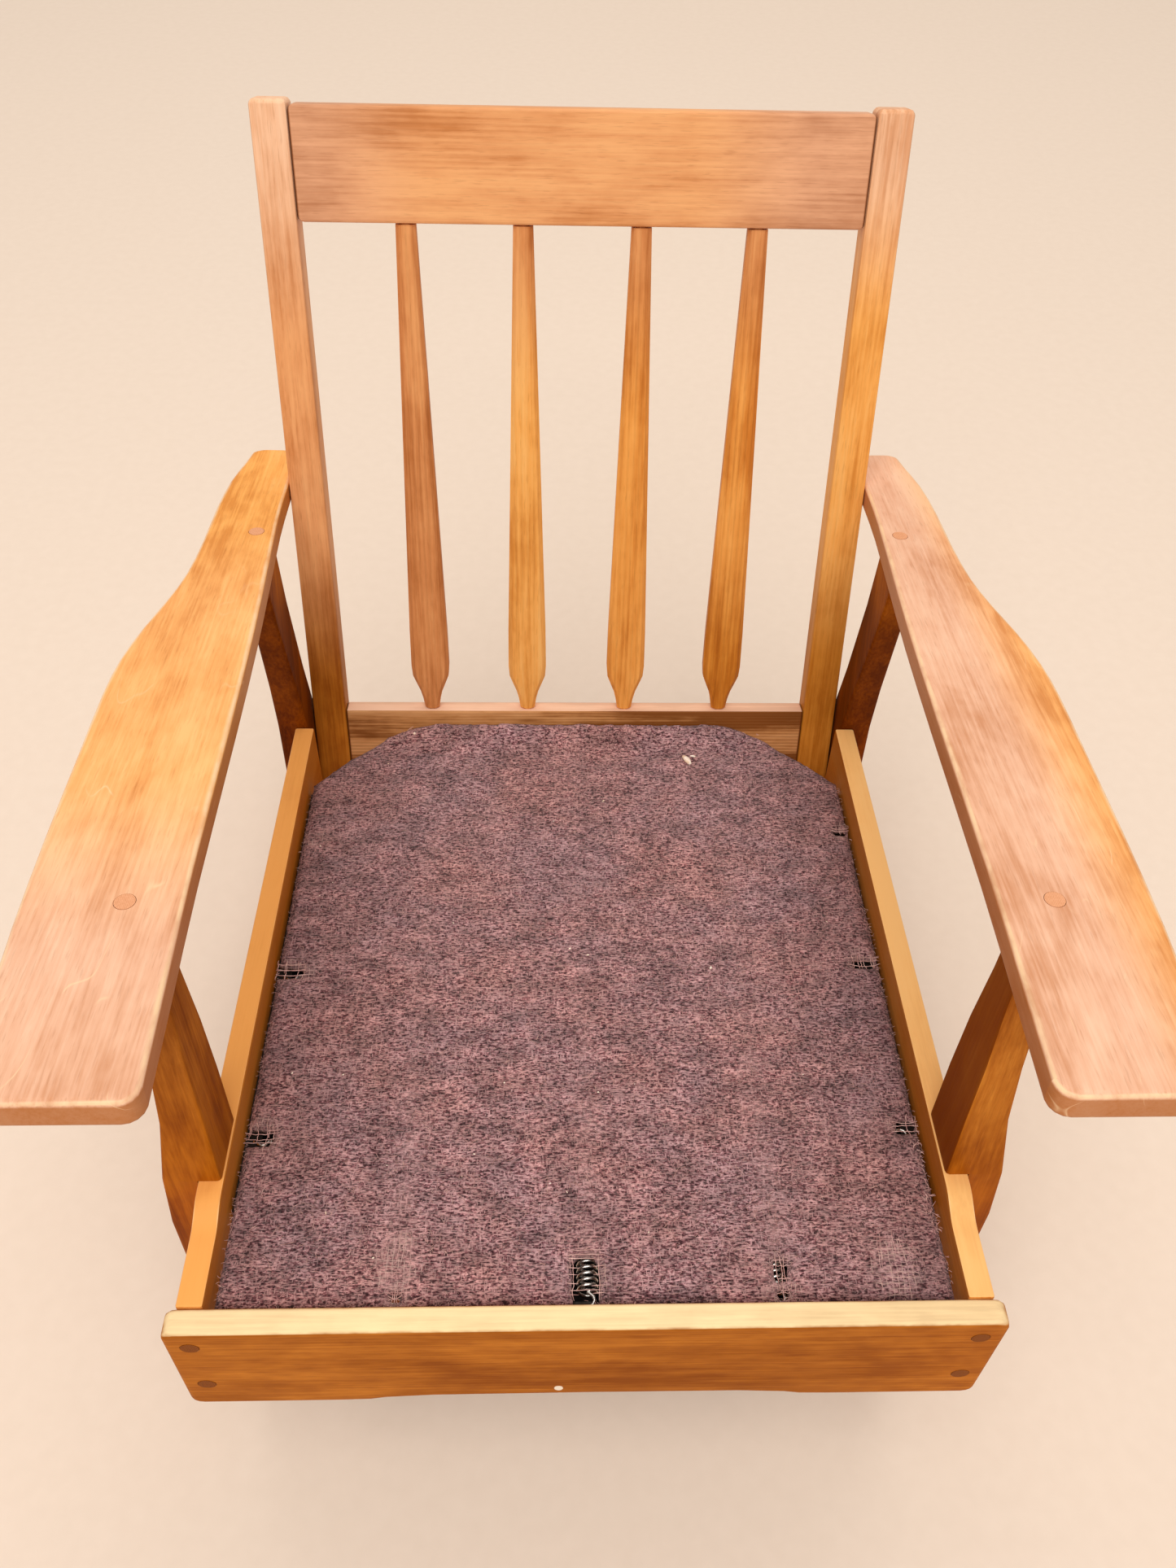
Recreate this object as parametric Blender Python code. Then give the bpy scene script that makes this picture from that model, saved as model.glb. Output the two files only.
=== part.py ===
"""A maple rocking chair frame with a sprung seat deck.

Metres, +Z up, the chair faces -Y, and the origin is on the floor under the middle of its bounding box.
Three tilted frames carry the pieces: the seat frame (X across, Y back along the side rails, Z square to
them, zero at the front rail's front face and the side rails' top edge), the arm frame and the back frame.
"Left" is the -X side, as seen by someone who faces the chair.
"""
import math

import bmesh
import bpy
from mathutils import Vector

# Clearances and edge treatment
GAP = 0.0003
EASE = 0.003
SIDES = {"left": -1, "right": 1}

# How the seat frame stands on its runners
SEAT_SLOPE = math.radians(5.0)
SEAT_Y = -0.4103
SEAT_Z = 0.385

# Runners: two arcs about one centre, with a short flat under the centre of mass, where the chair comes to rest
ROCKER_RADIUS = 1.05
ROCKER_DEPTH = 0.036
ROCKER_Y = -0.0258
ROCKER_INNER_X = 0.2655
ROCKER_OUTER_X = 0.2935
ROCKER_FLAT = 3.0
ROCKER_FRONT_ANGLE = -17.0
ROCKER_REAR_ANGLE = 25.0
ROCKER_CENTRE_Z = ROCKER_RADIUS * math.cos(math.radians(ROCKER_FLAT))

# Seat rails
RAIL_INNER_X = 0.2575
RAIL_OUTER_X = 0.2760
RAIL_REAR_Y = 0.5865
RAIL_BOTTOM_Z = -0.112
FRONT_HALF = 0.2835
FRONT_THICK = 0.018
FRONT_TOP_Z = -0.008
FRONT_BOTTOM_Z = -0.128
FRONT_ARCH = 0.007

# Legs
FRONT_LEG_INNER_X = 0.2592
REAR_LEG_INNER_X = 0.2636
FOOT_TENON = (0.2735, 0.2855)
FOOT_TENON_DEPTH = 0.018
FRONT_FOOT_Y = (0.113, 0.148)
REAR_FOOT_Y = (0.672, 0.712)

# Back frame, tilted back from the seat frame
BACK_Y = 0.6146
BACK_Z = -0.002
BACK_TILT = math.radians(11.57)
UPRIGHT_INNER_X = 0.2302
UPRIGHT_OUTER_LOW = 0.2630
UPRIGHT_OUTER_TOP = 0.2595
UPRIGHT_DEPTH = 0.0255
UPRIGHT_LOW = -0.105
UPRIGHT_TOP = 0.5392
BACK_RAIL_THICK = 0.019
BACK_RAIL_LOW = -0.085
CREST_LOW = 0.4513
CREST_TOP = 0.5358
SLAT_X = (-0.1440, -0.0485, 0.0485, 0.1440)

# Arms: the arm frame's origin is over the front leg, on the arm's top face
ARM_Y = 0.1402
ARM_Z = 0.2634
ARM_TILT = math.radians(4.01)
ARM_THICK = 0.021
PEG_X = 0.2746
PEG_REAR = 0.4360
PEG_RADIUS = 0.00635
PEG_LENGTH = 0.046

# Screws behind the front rail's plugs, and the screws that hold the back
PLUG_X = 0.2665
PLUG_Z = (-0.030, -0.092)
PLUG_DEPTH = 0.0064
SCREW_LENGTH = 0.042
BACK_SCREW = (0.6190, -0.050)
SCREW_TIP_X = 0.2472

# Stretchers
STRETCHER_FRONT = (0.1305, -0.235)
STRETCHER_REAR = (0.6600, -0.225)
STRETCHER_TENON = 0.018

# Sprung deck: springs between anchor strips and steel bands, with a felt pad on top
SPRING_Z = -0.0405
SPRING_RADIUS = 0.0068
SPRING_WIRE = 0.0009
SPRING_SPAN = 0.0545
SPRING_TURNS = 6
SIDE_DROP = 0.0015
STRIP_THICK = 0.0012
STRIP_WIDTH = 0.012
STRIP_LEG = 0.014
HOOK_HOLE = 0.0022
BAND_X = (-0.133, 0.0, 0.133)
BAND_Y = (0.157, 0.311, 0.461)
FRONT_HOOK_Y = 0.0255
REAR_HOOK_Y = 0.5985
SIDE_HOOK_X = 0.2495
PAD_TOP_Z = -0.0220
PAD_BOTTOM_Z = -0.0323
PAD_HALF = 0.2535

# Colours: red, green, blue, roughness, metallic
MAPLE = (0.72, 0.33, 0.10, 0.38, 0.0)
DARK_MAPLE = (0.42, 0.17, 0.06, 0.45, 0.0)
FELT = (0.16, 0.065, 0.06, 0.95, 0.0)
SPRING_STEEL = (0.30, 0.29, 0.27, 0.40, 1.0)
ZINC = (0.55, 0.55, 0.52, 0.35, 1.0)


# ---------------------------------------------------------------- scene helpers

def clear_scene():
    for old in list(bpy.data.objects):
        bpy.data.objects.remove(old, do_unlink=True)


def make_empty(name, parent, location, tilt):
    empty = bpy.data.objects.new(name, None)
    bpy.context.scene.collection.objects.link(empty)
    empty.parent = parent
    empty.location = location
    empty.rotation_euler = (-tilt, 0.0, 0.0)
    return empty


def make_material(name, colour):
    material = bpy.data.materials.new(name + "_finish")
    material.use_nodes = True
    shader = material.node_tree.nodes["Principled BSDF"]
    shader.inputs["Base Color"].default_value = (colour[0], colour[1], colour[2], 1.0)
    shader.inputs["Roughness"].default_value = colour[3]
    shader.inputs["Metallic"].default_value = colour[4]
    return material


def add_object(name, mesh, parent, colour=None):
    """An object in the given frame. A piece has a colour; a helper has none and stays hidden."""
    piece = bpy.data.objects.new(name, mesh)
    bpy.context.scene.collection.objects.link(piece)
    piece.parent = parent
    if colour:
        if not mesh.materials:
            mesh.materials.append(None)
        piece.material_slots[0].link = "OBJECT"
        piece.material_slots[0].material = make_material(name, colour)
    else:
        piece.hide_render = True
        piece.display_type = "WIRE"
    return piece


def ease_edges(piece, width=EASE, segments=2):
    bevel = piece.modifiers.new("eased_edges", "BEVEL")
    bevel.width = width
    bevel.segments = segments
    bevel.limit_method = "ANGLE"
    bevel.angle_limit = math.radians(35)


def boolean(piece, operation, other):
    modifier = piece.modifiers.new(other.name, "BOOLEAN")
    modifier.operation = operation
    modifier.solver = "EXACT"
    modifier.object = other


# ---------------------------------------------------------------- shape helpers

def loft(name, rings, smooth=False):
    """A closed mesh through rings of points, all with the same count, with a flat cap at each end."""
    bm = bmesh.new()
    rows = [[bm.verts.new(point) for point in ring] for ring in rings]
    count = len(rows[0])
    for low, high in zip(rows, rows[1:]):
        for i in range(count):
            j = (i + 1) % count
            bm.faces.new((low[i], low[j], high[j], high[i]))
    bm.faces.new(rows[0][::-1])
    bm.faces.new(rows[-1])
    bmesh.ops.recalc_face_normals(bm, faces=bm.faces)
    mesh = bpy.data.meshes.new(name)
    bm.to_mesh(mesh)
    bm.free()
    if smooth:
        mesh.shade_smooth()
        mesh.set_sharp_from_angle(angle=math.radians(40))
    return mesh


def swept_outline(outline, axis, low, high):
    """Two rings: a flat outline at both ends of a straight run along X, Y or Z."""
    def place(point, along):
        first, second = point
        return {"X": (along, first, second), "Y": (first, along, second), "Z": (first, second, along)}[axis]
    return [[place(point, along) for point in outline] for along in (low, high)]


def block_rings(low, high):
    outline = [(low[0], low[1]), (high[0], low[1]), (high[0], high[1]), (low[0], high[1])]
    return swept_outline(outline, "Z", low[2], high[2])


def circle_ring(centre, radius, axis, count):
    """A ring of points about a line through centre along X, Y or Z."""
    ring = []
    for i in range(count):
        angle = 2 * math.pi * (i + 0.5) / count
        a, b = radius * math.cos(angle), radius * math.sin(angle)
        offset = {"X": (0, a, b), "Y": (a, 0, b), "Z": (a, b, 0)}[axis]
        ring.append(Vector(centre) + Vector(offset))
    return ring


def turned_rings(start, axis, profile, count):
    """Rings of a turned piece. The profile lists (distance along the axis, radius) from start."""
    direction = {"X": Vector((1, 0, 0)), "Y": Vector((0, 1, 0)), "Z": Vector((0, 0, 1))}[axis]
    return [circle_ring(Vector(start) + direction * along, radius, axis, count) for along, radius in profile]


def curve_through(points, steps):
    """A smooth run through the points, with a few steps between each pair."""
    ends = [points[0]] + list(points) + [points[-1]]
    run = []
    for i in range(len(points) - 1):
        a, b, c, d = (Vector(p) for p in ends[i:i + 4])
        for k in range(steps):
            t = k / steps
            run.append(0.5 * (2 * b + (c - a) * t + (2 * a - 5 * b + 4 * c - d) * t ** 2
                              + (3 * b - a - 3 * c + d) * t ** 3))
    run.append(Vector(points[-1]))
    return [tuple(point) for point in run]


def arc(centre, radius, start, end, steps):
    """Points on a circle from one angle to another, in degrees."""
    angles = [math.radians(start + (end - start) * k / steps) for k in range(steps + 1)]
    return [(centre[0] + radius * math.cos(a), centre[1] + radius * math.sin(a)) for a in angles]


def rounded_box(half_width, low, high, radius, steps=3):
    """A rectangle in two coordinates with rounded corners, centred on zero in the first."""
    return (arc((half_width - radius, low + radius), radius, -90, 0, steps)
            + arc((half_width - radius, high - radius), radius, 0, 90, steps)
            + arc((radius - half_width, high - radius), radius, 90, 180, steps)
            + arc((radius - half_width, low + radius), radius, 180, 270, steps))


def cut_with(piece, name, rings, parent):
    boolean(piece, "DIFFERENCE", add_object(name, loft(name, rings), parent))


def join_block(owner, receiver, low, high, parent):
    """A tenon on the owner, and the mortise that takes it with a gap all round."""
    grow = Vector((GAP, GAP, GAP))
    low, high = Vector(low), Vector(high)
    name = owner.name + "_in_" + receiver.name
    tenon = add_object("tenon_" + name, loft("tenon_" + name, block_rings(low, high)), parent)
    boolean(owner, "UNION", tenon)
    cut_with(receiver, "mortise_" + name, block_rings(low - grow, high + grow), parent)


def span(side, inner, outer):
    """The two X values of a piece on one side of the chair, lowest first."""
    return sorted((side * inner, side * outer))


# ---------------------------------------------------------------- seat rails

def front_rail(seat):
    """The board across the front, with a shallow arch in its lower edge."""
    corner = 0.009
    half, low, high = FRONT_HALF, FRONT_BOTTOM_Z, FRONT_TOP_Z
    arch = curve_through([(-0.19, low), (-0.155, low + 0.001), (-0.11, low + FRONT_ARCH),
                          (0.11, low + FRONT_ARCH), (0.155, low + 0.001), (0.19, low)], 2)
    outline = (arch + arc((half - corner, low + corner), corner, -90, 0, 3)
               + arc((half - corner, high - corner), corner, 0, 90, 3)
               + arc((corner - half, high - corner), corner, 90, 180, 3)
               + arc((corner - half, low + corner), corner, 180, 270, 3))
    rail = add_object("front_rail", loft("front_rail", swept_outline(outline, "Y", 0, FRONT_THICK), True),
                      seat, MAPLE)
    ease_edges(rail, 0.0035, 3)
    return rail


def side_rail(label, side, seat):
    """Steps down in a short curve ahead of the front leg, to meet the front rail's top edge."""
    front = FRONT_THICK + GAP
    step = curve_through([(0.066, FRONT_TOP_Z), (0.074, FRONT_TOP_Z + 0.001),
                          (0.090, -0.001), (0.098, 0.0)], 3)
    outline = ([(front, RAIL_BOTTOM_Z), (front, FRONT_TOP_Z)] + step
               + [(RAIL_REAR_Y, 0.0), (RAIL_REAR_Y, RAIL_BOTTOM_Z)])
    low, high = span(side, RAIL_INNER_X, RAIL_OUTER_X)
    name = "side_rail_" + label
    rail = add_object(name, loft(name, swept_outline(outline, "X", low, high), True), seat, MAPLE)
    ease_edges(rail, 0.002)
    return rail


# ---------------------------------------------------------------- legs and runners

def runner_z(y, radius):
    """Seat-frame height of the runner circle of that radius under a seat-frame Y."""
    sin, cos = math.sin(SEAT_SLOPE), math.cos(SEAT_SLOPE)
    across = SEAT_Y + y * cos - ROCKER_Y
    up = SEAT_Z - y * sin - ROCKER_CENTRE_Z
    middle = across * sin + up * cos
    return -middle - math.sqrt(middle ** 2 - (across ** 2 + up ** 2 - radius ** 2))


def rocker(label, side):
    """A bent runner in the upright frame, thinner towards its rounded ends."""
    centre = (ROCKER_Y, ROCKER_CENTRE_Z)
    low_start, low_end = -90 + ROCKER_FRONT_ANGLE, -90 + ROCKER_REAR_ANGLE
    bottom = (arc(centre, ROCKER_RADIUS, low_start, -90 - ROCKER_FLAT, 7)
              + arc(centre, ROCKER_RADIUS, -90 + ROCKER_FLAT, low_end, 11))
    rear_nose = arc(centre, ROCKER_RADIUS - 0.012, low_end + 0.55, low_end + 0.55, 1)[:1]
    front_nose = arc(centre, ROCKER_RADIUS - 0.012, low_start - 0.35, low_start - 0.35, 1)[:1]
    top = arc(centre, ROCKER_RADIUS - ROCKER_DEPTH, low_end - 1.2, low_start + 0.5, 20)
    rear_top = arc(centre, ROCKER_RADIUS - 0.028, low_end + 0.25, low_end + 0.25, 1)[:1]
    front_top = arc(centre, ROCKER_RADIUS - 0.030, low_start - 0.2, low_start - 0.2, 1)[:1]
    outline = bottom + rear_nose + rear_top + top + front_top + front_nose
    low, high = span(side, ROCKER_INNER_X, ROCKER_OUTER_X)
    name = "rocker_" + label
    runner = add_object(name, loft(name, swept_outline(outline, "X", low, high), True), None, MAPLE)
    ease_edges(runner, 0.003)
    return runner


def leg(name, side, inner, levels, foot_y, seat):
    """A leg through levels of (outer X, front Y, rear Y, front Z, rear Z), ending on the runner's top."""
    top_radius = ROCKER_RADIUS - ROCKER_DEPTH - GAP
    foot = [runner_z(y, top_radius) for y in foot_y]
    rows = levels + [(0.298, foot_y[0], foot_y[1], foot[0], foot[1])]
    rings = []
    for outer, front, rear, front_z, rear_z in rows:
        rings.append([(side * inner, front, front_z), (side * outer, front, front_z),
                      (side * outer, rear, rear_z), (side * inner, rear, rear_z)])
    piece = add_object(name, loft(name, rings, True), seat, MAPLE)
    ease_edges(piece)
    return piece


def foot_joint(piece, runner, side, foot_y, seat):
    """The leg's tenon in the runner."""
    low_x, high_x = span(side, *FOOT_TENON)
    middle = runner_z(sum(foot_y) / 2, ROCKER_RADIUS - ROCKER_DEPTH)
    join_block(piece, runner, (low_x, foot_y[0] + 0.006, middle - FOOT_TENON_DEPTH),
               (high_x, foot_y[1] - 0.006, middle + 0.012), seat)


def front_leg(label, side, seat):
    """Widens outwards down to the seat rail, which it straddles, and narrows again to the runner."""
    top_front = ARM_Z + 0.022 * math.tan(ARM_TILT) - ARM_THICK / math.cos(ARM_TILT) - GAP
    top_rear = top_front - 0.031 * math.tan(ARM_TILT)
    levels = [(0.2845, 0.118, 0.149, top_front, top_rear),
              (0.2835, 0.117, 0.151, 0.185, 0.185),
              (0.2850, 0.1115, 0.1560, 0.125, 0.125),
              (0.2905, 0.1090, 0.1575, 0.065, 0.065),
              (0.3015, 0.1045, 0.1565, 0.0, 0.0),
              (0.3070, 0.1040, 0.1565, -0.060, -0.060),
              (0.3080, 0.1045, 0.1560, -0.118, -0.118),
              (0.3050, 0.1080, 0.1530, -0.200, -0.200)]
    piece = leg("front_leg_" + label, side, FRONT_LEG_INNER_X, levels, FRONT_FOOT_Y, seat)
    low_x, high_x = span(side, 0.20, RAIL_OUTER_X + GAP)
    cut_with(piece, "rail_seat_" + label,
             block_rings((low_x, 0.08, RAIL_BOTTOM_Z - GAP), (high_x, 0.18, GAP)), seat)
    return piece


def rear_leg(label, side, seat):
    """Leans back to the floor, with a straight front edge where the seat rail meets it."""
    drop = math.tan(ARM_TILT)
    top_front = ARM_Z - (0.5335 - ARM_Y) * drop - ARM_THICK / math.cos(ARM_TILT) - GAP
    top_rear = top_front - 0.052 * drop
    front_rail_face = RAIL_REAR_Y + GAP
    levels = [(0.2850, 0.5335, 0.5855, top_front, top_rear),
              (0.2865, 0.5480, 0.5930, 0.150, 0.150),
              (0.2905, 0.5740, 0.6120, 0.060, 0.060),
              (0.2930, front_rail_face, 0.6290, 0.0, 0.0),
              (0.2950, front_rail_face + 0.002, 0.6560, RAIL_BOTTOM_Z, RAIL_BOTTOM_Z),
              (0.2950, 0.6180, 0.6660, -0.150, -0.150),
              (0.2950, 0.6450, 0.6880, -0.225, -0.225)]
    return leg("rear_leg_" + label, side, REAR_LEG_INNER_X, levels, REAR_FOOT_Y, seat)


def stretcher(name, place, inner, legs, seat):
    """A turned cross bar, fuller in the middle, with a round tenon in each leg."""
    y, z = place
    half = inner - GAP
    profile = [(-half - STRETCHER_TENON, 0.008), (-half, 0.008), (-half, 0.0105), (-half * 0.5, 0.0128),
               (0.0, 0.0138), (half * 0.5, 0.0128), (half, 0.0105), (half, 0.008),
               (half + STRETCHER_TENON, 0.008)]
    bar = add_object(name, loft(name, turned_rings((0, y, z), "X", profile, 16), True), seat, MAPLE)
    for side, piece in legs:
        start, end = side * (half - 0.004), side * (half + STRETCHER_TENON + 2 * GAP)
        hole = [(min(start, end), 0.008 + GAP), (max(start, end), 0.008 + GAP)]
        cut_with(piece, name + "_socket_in_" + piece.name, turned_rings((0, y, z), "X", hole, 16), seat)
    return bar


# ---------------------------------------------------------------- back

def back_upright(label, side, back):
    """A post beside the back's rails. Its outer face leans in a little towards the top."""
    rings = []
    chamfer = 0.004
    for height, inset in ((UPRIGHT_LOW, 0.0), (UPRIGHT_TOP - chamfer, 0.0), (UPRIGHT_TOP, 0.0015)):
        share = (height - UPRIGHT_LOW) / (UPRIGHT_TOP - UPRIGHT_LOW)
        outer = UPRIGHT_OUTER_LOW + (UPRIGHT_OUTER_TOP - UPRIGHT_OUTER_LOW) * share - inset
        inner = UPRIGHT_INNER_X + inset
        rings.append([(side * inner, inset, height), (side * outer, inset, height),
                      (side * outer, UPRIGHT_DEPTH - inset, height),
                      (side * inner, UPRIGHT_DEPTH - inset, height)])
    name = "back_upright_" + label
    post = add_object(name, loft(name, rings, True), back, MAPLE)
    ease_edges(post, 0.0025)
    return post


def back_rail(name, low, high, corner, back):
    """A board between the uprights, flush with their front faces."""
    outline = rounded_box(UPRIGHT_INNER_X - GAP, low, high, corner)
    rail = add_object(name, loft(name, swept_outline(outline, "Y", 0.0005, BACK_RAIL_THICK), True), back, MAPLE)
    ease_edges(rail, 0.002)
    return rail


def slat(number, x, lower, upper, back):
    """An arrow slat: flat faces with chamfered edges, widest just above a pointed foot, round tenons."""
    low_end, high_end = -0.016, CREST_LOW + 0.016
    middle_y = 0.0095
    shape = [(0.0012, 0.0140, 0.0120, 0.0030), (0.012, 0.0175, 0.0130, 0.0030),
             (0.020, 0.0215, 0.0140, 0.0030), (0.028, 0.0280, 0.0150, 0.0035),
             (0.037, 0.0350, 0.0160, 0.0040), (0.048, 0.0368, 0.0160, 0.0040),
             (0.085, 0.0360, 0.0160, 0.0040), (0.300, 0.0245, 0.0150, 0.0036),
             (CREST_LOW - 0.0012, 0.0165, 0.0130, 0.0030)]
    rings = [slat_tenon_ring(low_end, middle_y), slat_tenon_ring(0.0012, middle_y)]
    for height, width, thick, chamfer in shape:
        a, b = width / 2, thick / 2
        rings.append([(a, middle_y - b + chamfer, height), (a, middle_y + b - chamfer, height),
                      (a - chamfer, middle_y + b, height), (chamfer - a, middle_y + b, height),
                      (-a, middle_y + b - chamfer, height), (-a, middle_y - b + chamfer, height),
                      (chamfer - a, middle_y - b, height), (a - chamfer, middle_y - b, height)])
    rings += [slat_tenon_ring(CREST_LOW - 0.0012, middle_y), slat_tenon_ring(high_end, middle_y)]
    name = "back_slat_%d" % number
    piece = add_object(name, loft(name, rings, True), back, MAPLE)
    piece.location.x = x
    for rail, start, end in ((lower, low_end - GAP, 0.02), (upper, CREST_LOW - 0.02, high_end + GAP)):
        socket = [slat_tenon_ring(height, middle_y, GAP) for height in (start, end)]
        socket = [[Vector(point) + Vector((x, 0, 0)) for point in ring] for ring in socket]
        cut_with(rail, "%s_socket_in_%s" % (name, rail.name), socket, back)
    return piece


def slat_tenon_ring(height, middle_y, grow=0.0):
    """Eight points of the slat's round tenon, in the order that the slat's own rings use."""
    radius = 0.0055 + grow
    angles = (-22.5, 22.5, 67.5, 112.5, 157.5, 202.5, 247.5, 292.5)
    return [(radius * math.cos(math.radians(a)), middle_y + radius * math.sin(math.radians(a)), height)
            for a in angles]


# ---------------------------------------------------------------- arms

def arm(label, side, frame):
    """A broad flat arm: widest over the seat, waisted ahead of the back, rounded at the corners."""
    front, rear = -ARM_Y, 0.5935
    outer = curve_through([(0.3225, front + 0.018), (0.3290, -0.080), (0.3345, -0.020), (0.3385, 0.060),
                           (0.3410, 0.140), (0.3430, 0.205), (0.3415, 0.248), (0.3350, 0.290),
                           (0.3260, 0.330), (0.3195, 0.370), (0.3172, 0.420), (0.3172, 0.480),
                           (0.3145, 0.530), (0.3080, 0.568)], 2)
    rear_end = arc((0.2920, rear - 0.016), 0.016, 35, 90, 4)
    inner = curve_through([(0.2618, rear - 0.001), (0.2618, 0.520), (0.2605, 0.460), (0.2560, 0.385),
                           (0.2505, 0.290), (0.2462, 0.180), (0.2415, 0.030), (0.2370, -0.060),
                           (0.2335, front + 0.012)], 2)
    front_inner = arc((0.2450, front + 0.0115), 0.0115, 180, 270, 4)
    front_outer = arc((0.3065, front + 0.016), 0.016, -90, -8, 5)
    outline = [(side * x, y) for x, y in outer + rear_end + inner + front_inner + front_outer]
    name = "arm_" + label
    piece = add_object(name, loft(name, swept_outline(outline, "Z", -ARM_THICK, 0.0), True), frame, MAPLE)
    ease_edges(piece, 0.005, 3)
    return piece


def arm_peg(name, side, y, piece, leg_piece, frame):
    """A through dowel that pins the arm to the top of a leg, its end grain showing on the arm."""
    start = (side * PEG_X, y, 0)
    peg = add_object(name, loft(name, turned_rings(start, "Z", [(-PEG_LENGTH, PEG_RADIUS), (0.0002, PEG_RADIUS)],
                                                   24), True), frame, DARK_MAPLE)
    hole = turned_rings(start, "Z", [(-PEG_LENGTH - GAP, PEG_RADIUS + GAP), (0.02, PEG_RADIUS + GAP)], 24)
    cut_with(piece, name + "_bore", hole, frame)
    boolean(leg_piece, "DIFFERENCE", bpy.data.objects[name + "_bore"])
    return peg


# ---------------------------------------------------------------- fasteners

def front_fixing(label, side, level, z, rail, side_piece, seat):
    """A countersunk screw through the front rail into the side rail's end, under a wooden plug."""
    x = side * PLUG_X
    plug_name = "front_plug_%s_%s" % (label, level)
    profile = [(-0.0002, PEG_RADIUS), (PLUG_DEPTH, PEG_RADIUS)]
    add_object(plug_name, loft(plug_name, turned_rings((x, 0, z), "Y", profile, 24), True), seat, DARK_MAPLE)
    bore = [(-0.01, PEG_RADIUS + GAP), (PLUG_DEPTH + GAP, PEG_RADIUS + GAP)]
    cut_with(rail, plug_name + "_bore", turned_rings((x, 0, z), "Y", bore, 24), seat)
    head = PLUG_DEPTH + 2 * GAP
    name = "front_screw_%s_%s" % (label, level)
    shape = [(head, 0.0042), (head + 0.0006, 0.0042), (head + 0.003, 0.0022),
             (head + SCREW_LENGTH - 0.008, 0.0020), (head + SCREW_LENGTH, 0.0004)]
    add_object(name, loft(name, turned_rings((x, 0, z), "Y", shape, 12), True), seat, ZINC)
    hole = [(0.0, 0.0042 + GAP)] + [(along + GAP, radius + 1.4 * GAP) for along, radius in shape[1:]]
    cut_with(rail, name + "_hole", turned_rings((x, 0, z), "Y", hole, 12), seat)
    boolean(side_piece, "DIFFERENCE", bpy.data.objects[name + "_hole"])


def back_screw(label, side, post, leg_piece, seat):
    """A round-headed screw from outside, through the rear leg into the back's upright."""
    y, z = BACK_SCREW
    face = 0.2942
    name = "back_screw_" + label
    shape = [(face + 0.0036, 0.0030), (face + 0.0030, 0.0055), (face + 0.0004, 0.0080), (face, 0.0080),
             (face, 0.0030), (SCREW_TIP_X + 0.006, 0.0028), (SCREW_TIP_X, 0.0006)]
    rings = turned_rings((0, y, z), "X", [(side * along, radius) for along, radius in shape], 16)
    add_object(name, loft(name, rings, True), seat, ZINC)
    hole = [(0.33, 0.0030 + GAP), (SCREW_TIP_X - GAP, 0.0030 + GAP)]
    cut_with(leg_piece, name + "_hole",
             turned_rings((0, y, z), "X", [(side * along, radius) for along, radius in hole], 16), seat)
    boolean(post, "DIFFERENCE", bpy.data.objects[name + "_hole"])
    recess = [(0.33, 0.0084), (face - GAP, 0.0084)]
    cut_with(leg_piece, name + "_recess",
             turned_rings((0, y, z), "X", [(side * along, radius) for along, radius in recess], 16), seat)


# ---------------------------------------------------------------- sprung deck

def sweep_wire(name, path, radius, sides):
    """A round wire along a path, its rings turned as little as possible from one to the next."""
    points = [Vector(p) for p in path]
    rings = []
    normal = Vector((1, 0, 0))
    for i, point in enumerate(points):
        ahead = (points[min(i + 1, len(points) - 1)] - point).normalized()
        behind = (point - points[max(i - 1, 0)]).normalized()
        tangent = (ahead + behind).normalized()
        normal = (normal - tangent * normal.dot(tangent)).normalized()
        second = tangent.cross(normal)
        rings.append([point + normal * radius * math.cos(2 * math.pi * k / sides)
                      + second * radius * math.sin(2 * math.pi * k / sides) for k in range(sides)])
    return loft(name, rings, True)


def spring_mesh():
    """A tension spring along +Y: a hook down, a run in at the coil's top, the coil, and the same again."""
    top, lead, per_turn = SPRING_RADIUS, 0.012, 6
    hook = [(0, 0, top - 0.0065), (0, 0, top - 0.0018), (0, 0.0018, top), (0, lead - 0.003, top)]
    count = SPRING_TURNS * per_turn
    coil = []
    for k in range(count + 1):
        angle = 2 * math.pi * k / per_turn
        along = lead + (SPRING_SPAN - 2 * lead) * k / count
        coil.append((top * math.sin(angle), along, top * math.cos(angle)))
    tail = [(0, SPRING_SPAN - y, z) for x, y, z in reversed(hook)]
    return sweep_wire("spring_wire", hook + coil + tail, SPRING_WIRE, 4)


def springs(seat):
    mesh = spring_mesh()
    places = []
    for number, x in enumerate(BAND_X, 1):
        places.append(("spring_front_%d" % number, (x, FRONT_HOOK_Y, SPRING_Z), 0.0))
        places.append(("spring_rear_%d" % number, (x, REAR_HOOK_Y, SPRING_Z), math.pi))
    for number, y in enumerate(BAND_Y, 1):
        for label, side in SIDES.items():
            places.append(("spring_%s_%d" % (label, number), (side * SIDE_HOOK_X, y, SPRING_Z - SIDE_DROP),
                           side * math.pi / 2))
    for name, location, turn in places:
        spring = add_object(name, mesh, seat, SPRING_STEEL)
        spring.location = location
        spring.rotation_euler = (0, 0, turn)


def hook_holes(piece, points, z, parent):
    for number, (x, y) in enumerate(points):
        rings = turned_rings((x, y, z), "Z", [(-0.004, HOOK_HOLE), (0.004, HOOK_HOLE)], 12)
        cut_with(piece, "%s_hole_%d" % (piece.name, number), rings, parent)


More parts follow.
